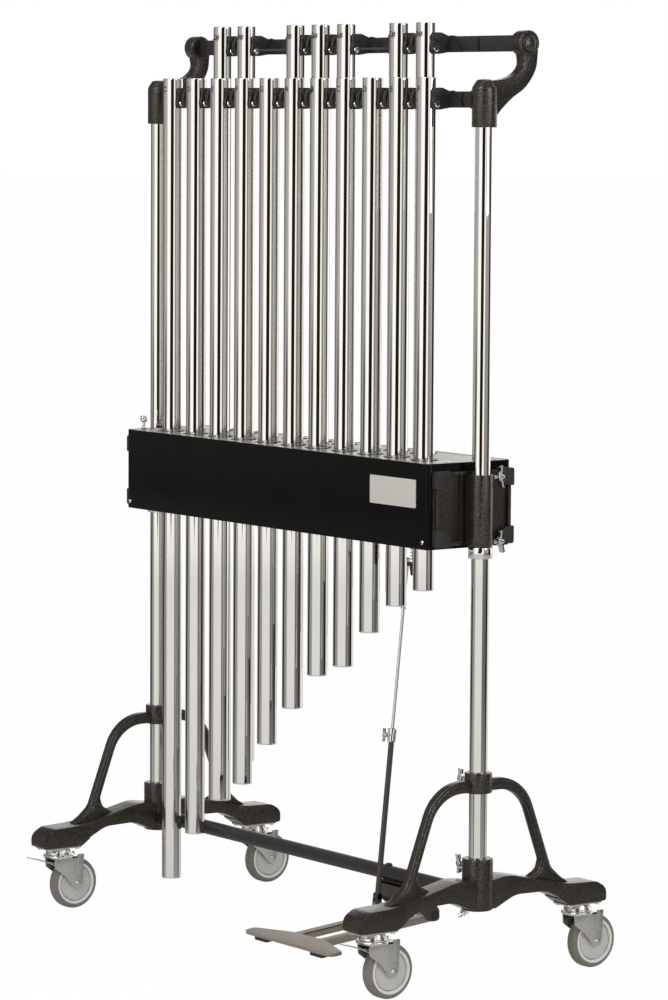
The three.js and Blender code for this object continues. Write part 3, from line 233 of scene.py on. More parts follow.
# %% [markdown]
# ## Finishes
# Each finish starts from the real material, and a pattern's scale is 1000 over its size in millimetres.
# Polished chrome plate is a true mirror with faint wipe marks, so its roughness wanders a little over some
# 60 mm. A drawn tube is never quite straight either: waves 50 mm wide and 770 mm long make its streaks
# wander.

# %% Chrome plate
wipe_size, wave_width, wave_length = 62.5, 50, 769.2
chrome, tree, shader, place = surface("polished_chrome_plate", "dedcd8", 1.0, 0.05)
wipe = add(tree, "ShaderNodeTexNoise", {"Vector": place, "Scale": 1000 / wipe_size, "Detail": 3.0})
haze = add(tree, "ShaderNodeMapRange", {"Value": wipe.outputs[0], "From Min": 0.35, "From Max": 0.7,
                                        "To Min": 0.012, "To Max": 0.03})
tree.links.new(haze.outputs[0], shader.inputs["Roughness"])
wave_scale = [1000 / size for size in (wave_width, wave_width, wave_length)]
drawn = add(tree, "ShaderNodeMapping", {"Vector": place, "Scale": wave_scale})
waves = add(tree, "ShaderNodeTexNoise", {"Vector": drawn.outputs[0], "Scale": 1.0, "Detail": 0.0})
bump = add(tree, "ShaderNodeBump", {"Height": waves.outputs[0], "Strength": 0.2, "Distance": 0.0012})
tree.links.new(bump.outputs[0], shader.inputs["Normal"])

# %% [markdown]
# The castings wear hammered enamel: the paint draws together into shallow dimples about 3 mm apart as it
# dries. Cells from a Voronoi pattern give the dimples, and a slow noise stops them looking stamped. The same
# cells paint shade into each dimple's floor and a highlight onto its rim.

# %% Hammered enamel on the castings
dimple_size, lump_size = 3.0303, 1.4286
hammered, tree, shader, place = surface("bronze_grey_hammered_enamel", "433f3a", 0.75, 0.25)
cells = add(tree, "ShaderNodeTexVoronoi", {"Vector": place, "Scale": 1000 / dimple_size, "Randomness": 1.0},
            feature="SMOOTH_F1")
lumps = add(tree, "ShaderNodeTexNoise", {"Vector": place, "Scale": 1000 / lump_size, "Detail": 2.0})
mixed = add(tree, "ShaderNodeMath", {0: lumps.outputs[0], 1: 0.5, 2: cells.outputs["Distance"]},
            operation="MULTIPLY_ADD")
dimples = add(tree, "ShaderNodeBump", {"Height": mixed.outputs[0], "Strength": 0.5, "Distance": 0.0007})
tree.links.new(dimples.outputs[0], shader.inputs["Normal"])
# Painted shade and highlight: the colour is darker in each dimple's floor and paler on its rim
dimple_painted_shade = add(tree, "ShaderNodeMapRange", {"Value": cells.outputs["Distance"], "From Min": 0.1,
                                         "From Max": 0.9})
tint = add(tree, "ShaderNodeMix", {0: dimple_painted_shade.outputs[0], 6: linear("302d29"), 7: linear("5b564e")},
           data_type="RGBA")
tree.links.new(tint.outputs[2], shader.inputs["Base Color"])

# %% [markdown]
# Rails, pedal and rod wear a fine satin powder coat. The pedal's coat is the rod's bronze made lighter, and
# the lighter colour is painted reflection on its top. The box is smoother: a black semi-gloss lacquer with a
# faint orange-peel skin. Hands and cloths rub each of them duller or brighter in patches about 110 mm wide.

# %% Satin powder coats and box lacquer
rub_size = 111.1
coats = {}
# Name, colour, metallic, roughness, size of the grain in millimetres, its depth in metres, specular level
for name, code, metallic, roughness, grain, depth, gloss in (
    ("satin_dark_powder_coat", "2b2826", 0.1, 0.46, 1.1, 0.0003, 0.4),
    ("satin_bronze_powder_coat", "443e37", 0.3, 0.40, 1.1, 0.00035, 0.5),
    # The pedal's coat is the bronze made lighter: its colour paints the reflection seen on its top
    ("satin_taupe_powder_coat", "8a7f75", 0.15, 0.44, 1.1, 0.00035, 0.5),
    ("black_semi_gloss_lacquer", "070605", 0.0, 0.28, 2.6, 0.0002, 0.10),
    # The lid's grey is painted reflection: its lacquer is black, and the grey stands in for the room it
    # reflects
    ("grey_silver_lacquer", "7b7872", 0.55, 0.30, 0.9, 0.0002, 0.5),
):
    material, tree, shader, place = surface(name, code, metallic, roughness, Specular_IOR_Level=gloss)
    skin = add(tree, "ShaderNodeTexNoise", {"Vector": place, "Scale": 1000 / grain, "Detail": 2.0})
    bump = add(tree, "ShaderNodeBump", {"Height": skin.outputs[0], "Strength": 0.5, "Distance": depth})
    tree.links.new(bump.outputs[0], shader.inputs["Normal"])
    rub = add(tree, "ShaderNodeTexNoise", {"Vector": place, "Scale": 1000 / rub_size, "Detail": 4.0})
    worn = add(tree, "ShaderNodeMapRange", {"Value": rub.outputs[0], "From Min": 0.3, "From Max": 0.75,
                                            "To Min": roughness - 0.05, "To Max": roughness + 0.07})
    tree.links.new(worn.outputs[0], shader.inputs["Roughness"])
    coats[name] = material
rail_coat, rod_coat, pedal_coat_painted_reflection, box_lacquer, lid_lacquer_painted_reflection = coats.values()

# %% [markdown]
# The small metal is zinc plate, bright and a little cloudy. The damper carriage is bare rolled aluminium with
# grain along its length, and the plate on the box is satin silver sheet with a fine speckle.

# %% Zinc, silver sheet and aluminium
cloud_size, speck_size, roll_width, roll_length = 8.333, 1.4286, 1.111, 333.3
zinc, tree, shader, place = surface("bright_zinc_plate", "d2d1cc", 1.0, 0.24)
cloud = add(tree, "ShaderNodeTexNoise", {"Vector": place, "Scale": 1000 / cloud_size, "Detail": 4.0})
patch = add(tree, "ShaderNodeMapRange", {"Value": cloud.outputs[0], "From Min": 0.3, "From Max": 0.7,
                                         "To Min": 0.17, "To Max": 0.3})
tree.links.new(patch.outputs[0], shader.inputs["Roughness"])

silver_sheet, tree, shader, place = surface("satin_silver_sheet", "cfccc5", 0.35, 0.45)
speck = add(tree, "ShaderNodeTexNoise", {"Vector": place, "Scale": 1000 / speck_size, "Detail": 3.0})
bump = add(tree, "ShaderNodeBump", {"Height": speck.outputs[0], "Strength": 0.15, "Distance": 0.0002})
tree.links.new(bump.outputs[0], shader.inputs["Normal"])

aluminium, tree, shader, place = surface("rolled_aluminium", "b2b3b4", 1.0, 0.38)
roll_scale = [1000 / size for size in (roll_length, roll_width, roll_width)]
along = add(tree, "ShaderNodeMapping", {"Vector": place, "Scale": roll_scale})
grain = add(tree, "ShaderNodeTexNoise", {"Vector": along.outputs[0], "Scale": 1.0, "Detail": 3.0})
bump = add(tree, "ShaderNodeBump", {"Height": grain.outputs[0], "Strength": 0.3, "Distance": 0.0002})
tree.links.new(bump.outputs[0], shader.inputs["Normal"])

# %% [markdown]
# Wheels are grey moulded rubber, scuffed paler where they roll. Felt is pressed wool, whose loose fibres
# scatter light at its edge, so it gets a fuzzy sheen. In both, one noise gives the tint and the bumps. Pads
# and caps are black rubber, and the wheels' rims and caps are nylon with the slight unevenness of a moulding.

# %% Rubber, felt and nylon
mottled = []
# Name, colour, roughness, sheen, size of the grain in millimetres, detail, its roughness, two tints, bumps
for name, code, roughness, sheen, grain, detail, grit, dark, pale, strength, depth in (
    ("grey_moulded_rubber", "6f6b65", 0.62, 0.0, 3.846, 5.0, 0.5, "625e58", "7c7871", 0.25, 0.0003),
    ("pressed_wool_felt", "2c2a29", 0.95, 0.5, 1.111, 6.0, 0.7, "1d1b1a", "403d3b", 0.6, 0.0006),
):
    material, tree, shader, place = surface(name, code, 0.0, roughness, Sheen_Weight=sheen)
    scuff = add(tree, "ShaderNodeTexNoise", {"Vector": place, "Scale": 1000 / grain, "Detail": detail,
                                             "Roughness": grit})
    tint = add(tree, "ShaderNodeMix", {0: scuff.outputs[0], 6: linear(dark), 7: linear(pale)},
               data_type="RGBA")
    tree.links.new(tint.outputs[2], shader.inputs["Base Color"])
    bump = add(tree, "ShaderNodeBump", {"Height": scuff.outputs[0], "Strength": strength, "Distance": depth})
    tree.links.new(bump.outputs[0], shader.inputs["Normal"])
    mottled.append(material)
rubber, felt = mottled

moulded = []
for name, code, roughness, grain, detail, strength, depth in (
    ("black_moulded_rubber", "1b1a19", 0.55, 2.5, 4.0, 0.3, 0.0003),
    ("light_grey_moulded_nylon", "d2d1cb", 0.42, 2.0, 3.0, 0.2, 0.0002),
    ("grey_moulded_nylon", "b9b8b3", 0.42, 2.0, 3.0, 0.2, 0.0002),
):
    material, tree, shader, place = surface(name, code, 0.0, roughness)
    flow = add(tree, "ShaderNodeTexNoise", {"Vector": place, "Scale": 1000 / grain, "Detail": detail})
    bump = add(tree, "ShaderNodeBump", {"Height": flow.outputs[0], "Strength": strength, "Distance": depth})
    tree.links.new(bump.outputs[0], shader.inputs["Normal"])
    moulded.append(material)
dark_rubber, rim_nylon, cap_nylon = moulded

# %% [markdown]
# The letters are stamped in black ink that wears unevenly. The cord is braided nylon: its strands cross it at
# a slant, about 4 mm apart, and a wave pattern laid diagonally gives them.

# %% Letter ink and braided cord
wear_size, strand_size = 1.25, 4.1667
letter_ink, tree, shader, place = surface("black_letter_ink", "080706", 0.0, 0.5)
worn = add(tree, "ShaderNodeTexNoise", {"Vector": place, "Scale": 1000 / wear_size, "Detail": 2.0})
patch = add(tree, "ShaderNodeMapRange", {"Value": worn.outputs[0], "To Min": 0.4, "To Max": 0.6})
tree.links.new(patch.outputs[0], shader.inputs["Roughness"])

braid, tree, shader, place = surface("braided_nylon_cord", "1c1b1a", 0.0, 0.7, Sheen_Weight=0.3)
weave = add(tree, "ShaderNodeTexWave", {"Vector": place, "Scale": 1000 / strand_size, "Distortion": 2.0},
            bands_direction="DIAGONAL")
bump = add(tree, "ShaderNodeBump", {"Height": weave.outputs[0], "Strength": 0.5, "Distance": 0.0004})
tree.links.new(bump.outputs[0], shader.inputs["Normal"])
print("materials:", len(bpy.data.materials))

# %% [markdown]
# ## Shapes: a flat outline made solid, and a profile spun round
# Nearly every part is cut from plate, cast from a flat pattern, or turned. So two helpers do most of the
# work. `plate` fills an outline, with holes if there are any, extrudes it and rolls the rims over. `turned`
# spins a profile round an axis. Corners come from `soft`, which swaps a sharp corner for an arc.


# %% Outline, plate and turned shapes
def soft(points, steps=6, closed=True):
    """Points of a line whose corners (a, b, radius) are arcs of that many steps"""
    line = []
    count = len(points)
    for i, (a, b, *radius) in enumerate(points):
        here = Vector((a, b))
        if not radius or not radius[0] or (not closed and i in (0, count - 1)):
            line.append(here)
            continue
        back = (Vector(points[i - 1][:2]) - here).normalized()
        ahead = (Vector(points[(i + 1) % count][:2]) - here).normalized()
        half = back.angle(ahead) / 2
        centre = here + (back + ahead).normalized() * radius[0] / math.sin(half)
        start = here + back * radius[0] / math.tan(half) - centre
        end = here + ahead * radius[0] / math.tan(half) - centre
        sweep = math.atan2(start.cross(end), start.dot(end))
        line += [centre + Matrix.Rotation(sweep * k / steps, 2) @ start for k in range(steps + 1)]
    return line


def circle(a, b, radius, count=40):
    """Points on a circle round (a, b)"""
    return [Vector((a + radius * math.cos(2 * math.pi * k / count),
                    b + radius * math.sin(2 * math.pi * k / count))) for k in range(count)]


def block(a0, b0, a1, b1, radius=0.0, steps=6):
    """A rectangle between two corners, each corner an arc"""
    return soft([(a0, b0, radius), (a1, b0, radius), (a1, b1, radius), (a0, b1, radius)], steps)


def mirrored(half):
    """A whole outline from the corners on its right"""
    return half + [(-a, b, *radius) for a, b, *radius in reversed(half)]


def lift(axis, a, b, h):
    """A point of a flat outline, raised by h along an axis"""
    return Vector({"x": (h, a, b), "y": (a, h, b), "z": (a, b, h)}[axis])


def plate(bm, axis, outline, low, high, rim=0.0, holes=()):
    """A solid slab of that outline, whose rims are rolled over"""
    edges = []
    for line in (outline, *holes):
        corners = [bm.verts.new(lift(axis, a, b, low)) for a, b in line]
        edges += [bm.edges.new((corners[i - 1], corners[i])) for i in range(len(corners))]
    filled = bmesh.ops.triangle_fill(bm, use_beauty=True, edges=edges)["geom"]
    faces = [g for g in filled if isinstance(g, bmesh.types.BMFace)]
    made = bmesh.ops.extrude_face_region(bm, geom=faces)["geom"]
    moved = [g for g in made if isinstance(g, bmesh.types.BMVert)]
    bmesh.ops.translate(bm, verts=moved, vec=lift(axis, 0, 0, high - low))
    caps = faces + [g for g in made if isinstance(g, bmesh.types.BMFace)]
    raised, flat = set(moved), set(caps)
    # A set's own order changes from run to run, so the faces and edges are taken in the mesh's order
    walls = [f for f in bm.faces if f in flat or not raised.isdisjoint(f.verts)]
    bmesh.ops.recalc_face_normals(bm, faces=walls)
    rims = [e for e in bm.edges
            if len(e.link_faces) == 2 and not flat.isdisjoint(e.link_faces) and e.calc_face_angle(0) > 0.8]
    if rim:
        bmesh.ops.bevel(bm, geom=rims, offset=rim, offset_type="OFFSET", segments=3, profile=0.5,
                        affect="EDGES", clamp_overlap=True, material=-1)


def turned(bm, axis, centre, profile, count=40):
    """Spins a profile of (radius, height) round an axis through centre"""
    spin_axis = lift(axis, 0, 0, 1)
    middle = lift(axis, centre[0], centre[1], 0)
    out = lift(axis, 1, 0, 0)
    line = [bm.verts.new(middle + out * r + spin_axis * h) for r, h, *_ in profile]
    edges = [bm.edges.new((line[i], line[i + 1])) for i in range(len(line) - 1)]
    bmesh.ops.spin(bm, geom=line + edges, cent=middle, axis=spin_axis, dvec=(0, 0, 0), angle=2 * math.pi,
                   steps=count, use_merge=True, use_duplicate=False)
    on_axis = [v for v in bm.verts if (v.co - middle).cross(spin_axis).length < 0.001]
    bmesh.ops.remove_doubles(bm, verts=on_axis, dist=0.001)


def outwards(face, hand, profile):
    """A profile whose heights count from a face, towards plus or minus"""
    return [(radius, face + hand * rise, *edge) for radius, rise, *edge in profile]


def pipe(bm, axis, centre, radius, low, high, edge=0.5, count=40):
    """A plain turned bar with softened ends, and a ring near each that holds its wall straight"""
    hold = min(3 * edge, (high - low) / 2)
    turned(bm, axis, centre, soft([
        (0, low), (radius, low, edge), (radius, low + hold), (radius, high - hold), (radius, high, edge),
        (0, high)], 3, False), count)


# %% [markdown]
# Last comes one helper that turns a finished shape into an object: it goes from millimetres to metres and to
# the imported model's origin, gets its finish, rides on its body and hides the plain solid that it stands for.

# %% Finish a piece
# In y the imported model's origin is the middle of its box, and this script's is the plane of the posts
packed_shift_y = -7.38567
to_metres = Matrix.Scale(0.001, 4) @ Matrix.Translation((0, packed_shift_y, 0))
tally = {}


def piece(name, bm, body, material, stands_for=(), placed=Matrix(), crease=35):
    """Turns a shape into a piece that rides on a body and hides the solid that it stands for"""
    bmesh.ops.remove_doubles(bm, verts=bm.verts, dist=0.0005)
    bmesh.ops.recalc_face_normals(bm, faces=bm.faces)
    bmesh.ops.transform(bm, verts=bm.verts, matrix=to_metres @ placed)
    mesh = bpy.data.meshes.new(name)
    bm.to_mesh(mesh)
    bm.free()
    mesh.shade_smooth()
    mesh.set_sharp_from_angle(angle=math.radians(crease))
    item = bpy.data.objects.new(name, mesh)
    mesh.materials.append(material)
    bpy.context.scene.collection.objects.link(item)
    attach(item, body)
    if stands_for:
        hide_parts(*([stands_for] if isinstance(stands_for, str) else stands_for))
    tally[name] = len(mesh.polygons)
    return item


# %% [markdown]
# ## Tubes
# A chime is a brass tube, polished and chromed, with a plug in its top that the mallet strikes. It is a pure
# turned shape, so a profile is spun: flat cap, small chamfer, straight wall, and the open foot with its wall
# thickness. Smooth shading would bend the reflections from one end of the long wall to the other, so a ring
# of points close to each end holds the wall straight. Naturals hang in front, accidentals behind and 100 mm
# higher.

# %% Tubes
tube_radius, tube_wall, tube_plug, pitch = 19.05, 1.6, 12, 80
bore = tube_radius - tube_wall
# How far the rings that hold a wall straight lie from its top and from its foot
hold_top, hold_foot = 4, 3
natural_row = {"y": -43, "top": 1628}
accidental_row = {"y": 48, "top": 1728.5}
# Note, place along the row in pitches, and length
naturals = [
    ("C5", -5, 1568), ("D5", -4, 1468), ("E5", -3, 1390), ("F5", -2, 1348), ("G5", -1, 1261),
    ("A5", 0, 1182.5), ("B5", 1, 1111), ("C6", 2, 1085), ("D6", 3, 1013), ("E6", 4, 956), ("F6", 5, 920),
]
accidentals = [
    ("C5_sharp", -4.5, 1517), ("D5_sharp", -3.5, 1428), ("F5_sharp", -1.5, 1304), ("G5_sharp", -0.5, 1221),
    ("A5_sharp", 0.5, 1146), ("C6_sharp", 2.5, 1048), ("D6_sharp", 3.5, 984),
]
rows = ((natural_row, naturals), (accidental_row, accidentals))
for row, notes in rows:
    for note, step, length in notes:
        top, foot = row["top"], row["top"] - length
        bm = bmesh.new()
        turned(bm, "z", (step * pitch, row["y"]), soft([
            (0, top), (tube_radius, top, 1.5), (tube_radius, top - hold_top), (tube_radius, foot + hold_foot),
            (tube_radius, foot, 0.5), (bore, foot, 0.4), (bore, foot + hold_foot), (bore, top - tube_plug),
            (0, top - tube_plug)], 3, False), 56)
        piece("chime_" + note, bm, "tube_" + note, chrome, "tube_" + note)
print("tubes:", len(naturals) + len(accidentals))

# %% [markdown]
# ## Posts and end castings
# Each post is a chromed tube with a stop collar under the box. On top sits a cast socket with an S-shaped arm
# that carries the two rails: the front one at the socket, the rear one on the round boss at the arm's end.
# The arm is drawn as two curves. A second, thinner plate of the same outline moved 2 mm outwards leaves the
# raised line of the mould's parting along its rim.

# %% Posts
post_x, post_radius, post_wall, post_low, post_top = 510, 16.5, 2, 150, 1606
collar_radius, collar_low, collar_high = 22, 773.5, 793.7
post_bore = post_radius - post_wall
post_profile = soft([
    (post_bore, post_low), (post_radius, post_low, 0.6), (post_radius, post_low + hold_foot),
    (post_radius, collar_low), (collar_radius, collar_low, 1.6), (collar_radius, collar_high, 1),
    (post_radius, collar_high), (post_radius, post_top), (post_bore, post_top), (post_bore, post_low),
], 3, False)
sides = (("left", -1), ("right", 1))
for name, side in sides:
    bm = bmesh.new()
    turned(bm, "z", (side * post_x, 0), post_profile, 56)
    piece("post_tube_" + name, bm, "frame", chrome, "post_" + name)

# %% Outline of the end castings' arm
rear_rail_y, arm_low, arm_high = 91, 1540, 1689.5
arm_rear_shares = [(0.1, 0.05), (0.32, 0.2), (0.6, 0.345), (0.945, 0.482), (1.19, 0.69), (1.247, 0.92)]
arm_front_shares = [(0.8, 1), (0.87, 0.84), (0.87, 0.73), (0.7, 0.63), (0.4, 0.57), (0, 0.55)]


def flowing(points, steps=5):
    """A smooth curve through the points"""
    line = []
    spots = [Vector(p) for p in points]
    ends = [spots[0] * 2 - spots[1]] + spots + [spots[-1] * 2 - spots[-2]]
    for i in range(1, len(ends) - 2):
        p, q, r, s = ends[i - 1:i + 3]
        for k in range(steps):
            t = k / steps
            line.append(0.5 * (2 * q + (r - p) * t + (2 * p - 5 * q + 4 * r - s) * t * t
                               + (3 * q - p - 3 * r + s) * t * t * t))
    return line + [spots[-1]]


def inset(points, distance):
    """The same closed outline, moved inwards"""
    count = len(points)
    turning = sum(points[i - 1].cross(points[i]) for i in range(count))
    line = []
    for i in range(count):
        along = (points[(i + 1) % count] - points[i - 1]).normalized()
        line.append(points[i] + Vector((-along.y, along.x)) * math.copysign(distance, turning))
    return line


def arm_place(pair):
    """A point of the arm, given as shares of its reach and of its height"""
    return (pair[0] * rear_rail_y, arm_low + pair[1] * (arm_high - arm_low))


arm_outline = [point for shares in (arm_rear_shares, arm_front_shares)
               for point in flowing([arm_place(pair) for pair in shares])]

# %% End castings
arm_half, seam_half, seam_rise = 12, 4, 2.2
# The round boss with a shallow recess, and the dome that caps its outer side
boss_profile = [(0, -14), (23, -14, 3), (23, 14, 3), (18, 14, 1), (16, 12.5, 1), (0, 12.5)]
dome_radius, dome_rise, dome_low, dome_steps = 15, 6, 12, 8
dome_angles = [step * math.pi / 2 / dome_steps for step in range(dome_steps + 1)]
dome_profile = [(dome_radius * math.sin(angle), dome_low + dome_rise * math.cos(angle))
                for angle in dome_angles]
dome_profile += [(dome_radius, dome_low - 1), (0, dome_low - 1)]
# A casting slides on its post with a little play
sliding_bore, socket_radius = post_radius + 0.3, 22.5
socket_profile = soft([
    (0, post_top + 0.5), (sliding_bore, post_top + 0.5), (sliding_bore, arm_low), (socket_radius, arm_low, 2),
    (socket_radius, post_top + 4, 8), (14, post_top + 18, 9), (0, post_top + 19.5)], 5, False)
tongue_reach, tongue_low, tongue_high, tongue_half = 30.5, 1572.5, 1605.5, 7
for name, side in sides:
    bm = bmesh.new()
    x = side * post_x
    plate(bm, "x", arm_outline, x - arm_half, x + arm_half, rim=3)
    plate(bm, "x", inset(arm_outline, -seam_rise), x - seam_half, x + seam_half, rim=1.6)
    turned(bm, "x", (rear_rail_y, arm_high), soft(outwards(x, 1, boss_profile), 4, False))
    turned(bm, "x", (rear_rail_y, arm_high), outwards(x, side, dome_profile), 40)
    turned(bm, "z", (x, 0), socket_profile, 48)
    tongue = block(x - side * tongue_reach, tongue_low, x, tongue_high, 2)
    plate(bm, "y", tongue, -tongue_half, tongue_half, rim=1.5)
    piece("end_arm_" + name, bm, "frame", hammered, "end_casting_" + name)

# %% [markdown]
# ## Rails and hangers
# The rails are flat bars. Each tube hangs between two moulded cheeks that reach forward from the bar, with
# the cord running through all of them. The cheeks are cut as plates with rounded noses, and a chromed dome
# screw holds each one.

# %% Sizes of the rails and hangers
rails = (("natural", natural_row, naturals, 0, 479.2),
         ("accidental", accidental_row, accidentals, rear_rail_y, 495.7))
rail_half, rail_depth, rail_over_cord, cord_drop = 14.5, 5, 7, 46
cheek_near, cheek_far, spacer_half = 22.05, 28.05, 4.5
# How far a foot reaches over the rail beside a gap, and at most beside an end, and what it leaves free there
gap_reach, end_reach, end_margin = 51.5, 78, 24
cheek_cap = [(0, -1), (7.5, -1), (7.5, 3.5, 1.5), (0, 3.5)]
cheek_screw = [(0, -0.5), (5.6, -0.5), (5.6, 1.2), (4.6, 2.6), (2.6, 3.5), (0, 3.8)]
spacer_screw = [(0, -0.5), (4.6, -0.5), (4.6, 0.8), (2.4, 2.4), (0, 2.7)]


def foot_on_rail(bm, face, hand, reach, rail_y, rail_z):
    """The hanger's foot: a plate on the rail with a slanting rib over it"""
    start, end = face - hand * 5, face + hand * reach
    foot = soft([(start, rail_z - 14.4), (end, rail_z - 14.4, 1), (end, rail_z + 12, 1),
                 (face + hand * reach * 0.5, rail_z + 11.5, 30), (face + hand * 3, rail_z + 16, 4),
                 (start, rail_z + 16)], 6)
    plate(bm, "y", foot, rail_y - 8, rail_y - 4.8, rim=0.7)
    slope = soft([(start, rail_z - 13), (face + hand * 34, rail_z - 13, 2),
                  (face + hand * 22, rail_z + 2, 20), (start, rail_z + 10)], 6)
    plate(bm, "y", slope, rail_y - 11.5, rail_y - 7.8, rim=1)


# %% Rails, cheeks and their screws
for name, row, notes, rail_y, half_length in rails:
    cord_z = row["top"] - cord_drop
    rail_z = cord_z + rail_over_cord
    bm = bmesh.new()
    bar = block(rail_y - rail_depth, rail_z - rail_half, rail_y + rail_depth, rail_z + rail_half, 2, 3)
    plate(bm, "x", bar, -half_length, half_length, rim=0.6)
    # Both outlines end inside the bar, 4.7 mm in front of its middle
    y, back = row["y"], rail_y - 4.7
    cheek = soft([
        (y - 10, cord_z - 11, 9), (y + 9, cord_z - 11, 6), (rail_y - 12, rail_z - rail_half, 3),
        (back, rail_z - rail_half), (back, rail_z + rail_half), (rail_y - 12, rail_z + rail_half, 3),
        (y + 13, cord_z + 28, 8), (y - 6, cord_z + 28, 8), (y - 5, cord_z + 12, 5)], 5)
    spacer = soft([
        (y - 3, cord_z - 9, 6), (back, cord_z - 9), (back, cord_z + 25), (y - 1, cord_z + 25, 8),
        (y - 5, cord_z + 8, 6)], 5)
    screws = bmesh.new()
    places = [step for note, step, length in notes]
    for number, step in enumerate(places):
        x = step * pitch
        for hand in (-1, 1):
            face = x + hand * cheek_far
            near, far = sorted((x + hand * cheek_near, face))
            plate(bm, "x", cheek, near, far, rim=1.6)
            turned(bm, "x", (y + 4, cord_z + 19), soft(outwards(face, hand, cheek_cap), 4, False), 24)
            turned(screws, "x", (y + 1, cord_z - 2), outwards(face, hand, cheek_screw), 20)
            # A close neighbour shares one spacer. Beside a gap or an end the hanger's foot is seen instead.
            neighbour = number + hand
            beside = places[neighbour] if 0 <= neighbour < len(places) else None
            if beside is None:
                reach = min(end_reach, half_length - abs(face) - end_margin)
                foot_on_rail(bm, face, hand, reach, rail_y, rail_z)
            elif abs(beside - step) > 1:
                foot_on_rail(bm, face, hand, gap_reach, rail_y, rail_z)
            elif hand > 0:
                middle = x + pitch / 2
                plate(bm, "x", spacer, middle - spacer_half, middle + spacer_half, rim=2)
                turned(screws, "x", (y + 4, cord_z - 1), outwards(middle + spacer_half, 1, spacer_screw), 20)
    piece("hanger_rail_" + name, bm, "frame", rail_coat, "rail_" + name)
    piece("hanger_screws_" + name, screws, "frame", chrome)

# %% Hanging cords with their end stops
cord_radius, cord_end, stop_radius, stop_length = 1.7, 8, 4.5, 5
for name, row, notes, rail_y, half_length in rails:
    line = (row["y"], row["top"] - cord_drop)
    # The stops sit against the outermost cheeks
    first, last = notes[0][1] * pitch - cheek_far - 0.3, notes[-1][1] * pitch + cheek_far + 0.3
    bm = bmesh.new()
    pipe(bm, "x", line, cord_radius, first - cord_end, last + cord_end, 0.5, 16)
    for start in (first - stop_length, last):
        pipe(bm, "x", line, stop_radius, start, start + stop_length, 1.8, 20)
    piece("hanging_cord_" + name, bm, "frame", braid, "cord_" + name)

# %% [markdown]
# ## Damper box
# The box is folded from sheet steel with rounded upright corners, and closed by a lid drilled for the
# tubes. The lid is lacquered black like the box, and its grey colour is painted reflection of the bright room.
# The lid shows as a bright line round the tubes, so its holes are truly round and their rims rolled. A bare
# metal plate sits on the front, and a cross-head screw near each end.

# %% Box shell and lid
box_half, box_front, box_back, box_low, box_top = 479.5, -97.5, 94, 790, 944
corner_radius, sheet, lip = 10, 2, 7
lid_low, lid_high, lid_hole, knob_hole = 940.7, 943.4, 25.9, 2.6
knob_place = (-462, -68)


def box_outline(inwards, steps=8):
    """The box seen from above, moved inwards"""
    return block(-box_half + inwards, box_front + inwards, box_half - inwards, box_back - inwards,
                 corner_radius - inwards, steps)


bm = bmesh.new()
plate(bm, "z", box_outline(0), box_low, box_top, rim=0.9, holes=[box_outline(sheet)])
# The folded lips under the lid and over the floor
for lip_low in (box_top - 5.6, box_low + 3.6):
    plate(bm, "z", box_outline(sheet / 2), lip_low, lip_low + sheet, holes=[box_outline(lip, 2)])
piece("box_case", bm, "box", box_lacquer, "box_shell", crease=30)
lid_holes = [circle(step * pitch, row["y"], lid_hole) for row, notes in rows for note, step, length in notes]
bm = bmesh.new()
# The lid's grey finish is painted reflection of the room on black lacquer
plate(bm, "z", box_outline(sheet + 0.3), lid_low, lid_high, rim=0.4,
      holes=lid_holes + [circle(*knob_place, knob_hole, 12)])
piece("box_top", bm, "box", lid_lacquer_painted_reflection, "box_lid", crease=30)

# %% Bare plate and screws on the box
bare_plate = block(312, 863, 447, 914, 3)
front_screw = [(0, -0.5), (4, -0.5), (4, 0.5), (3, 1.4), (0, 1.7)]
front_screw_z, slot_long, slot_wide = 803, 2.4, 0.5
bm = bmesh.new()
plate(bm, "y", bare_plate, box_front - 1.2, box_front + 0.4, rim=0.5)
piece("bare_front_plate", bm, "box", silver_sheet)
bm = bmesh.new()
for x in (-467, 465):
    turned(bm, "y", (x, front_screw_z), outwards(box_front, -1, front_screw), 24)
    for a, b in ((slot_long, slot_wide), (slot_wide, slot_long)):
        slot = block(x - a, front_screw_z - b, x + a, front_screw_z + b)
        plate(bm, "y", slot, box_front - 1.85, box_front - 1)
piece("box_screws", bm, "box", chrome)

# %% [markdown]
# ## Brackets on the box
# A casting is bolted to each end of the box and slides on the post. It is a thin web inside a rim, with thick
# pads at its corners, a wide and a narrow rib, and a long round boss. Each part is a plate or a turned ring
# that runs into its neighbour, as the parts of a casting pattern do.


# %% Box brackets
def ring(inner, outer, low, high, edge):
    """Profile of a sleeve, softened on its outside"""
    return soft([(inner, low), (outer, low, edge), (outer, high, edge), (inner, high), (inner, low)],
                4, False)


bracket_face, collar_end = 479.8, 497
bracket_low, bracket_high, bracket_radius = 794, 923.5, 21
clamp_heights = (("upper", 917), ("lower", 800.5))
clamp_boss = [(0, 17), (6.5, 17), (6.5, 27, 1.2), (0, 27)]
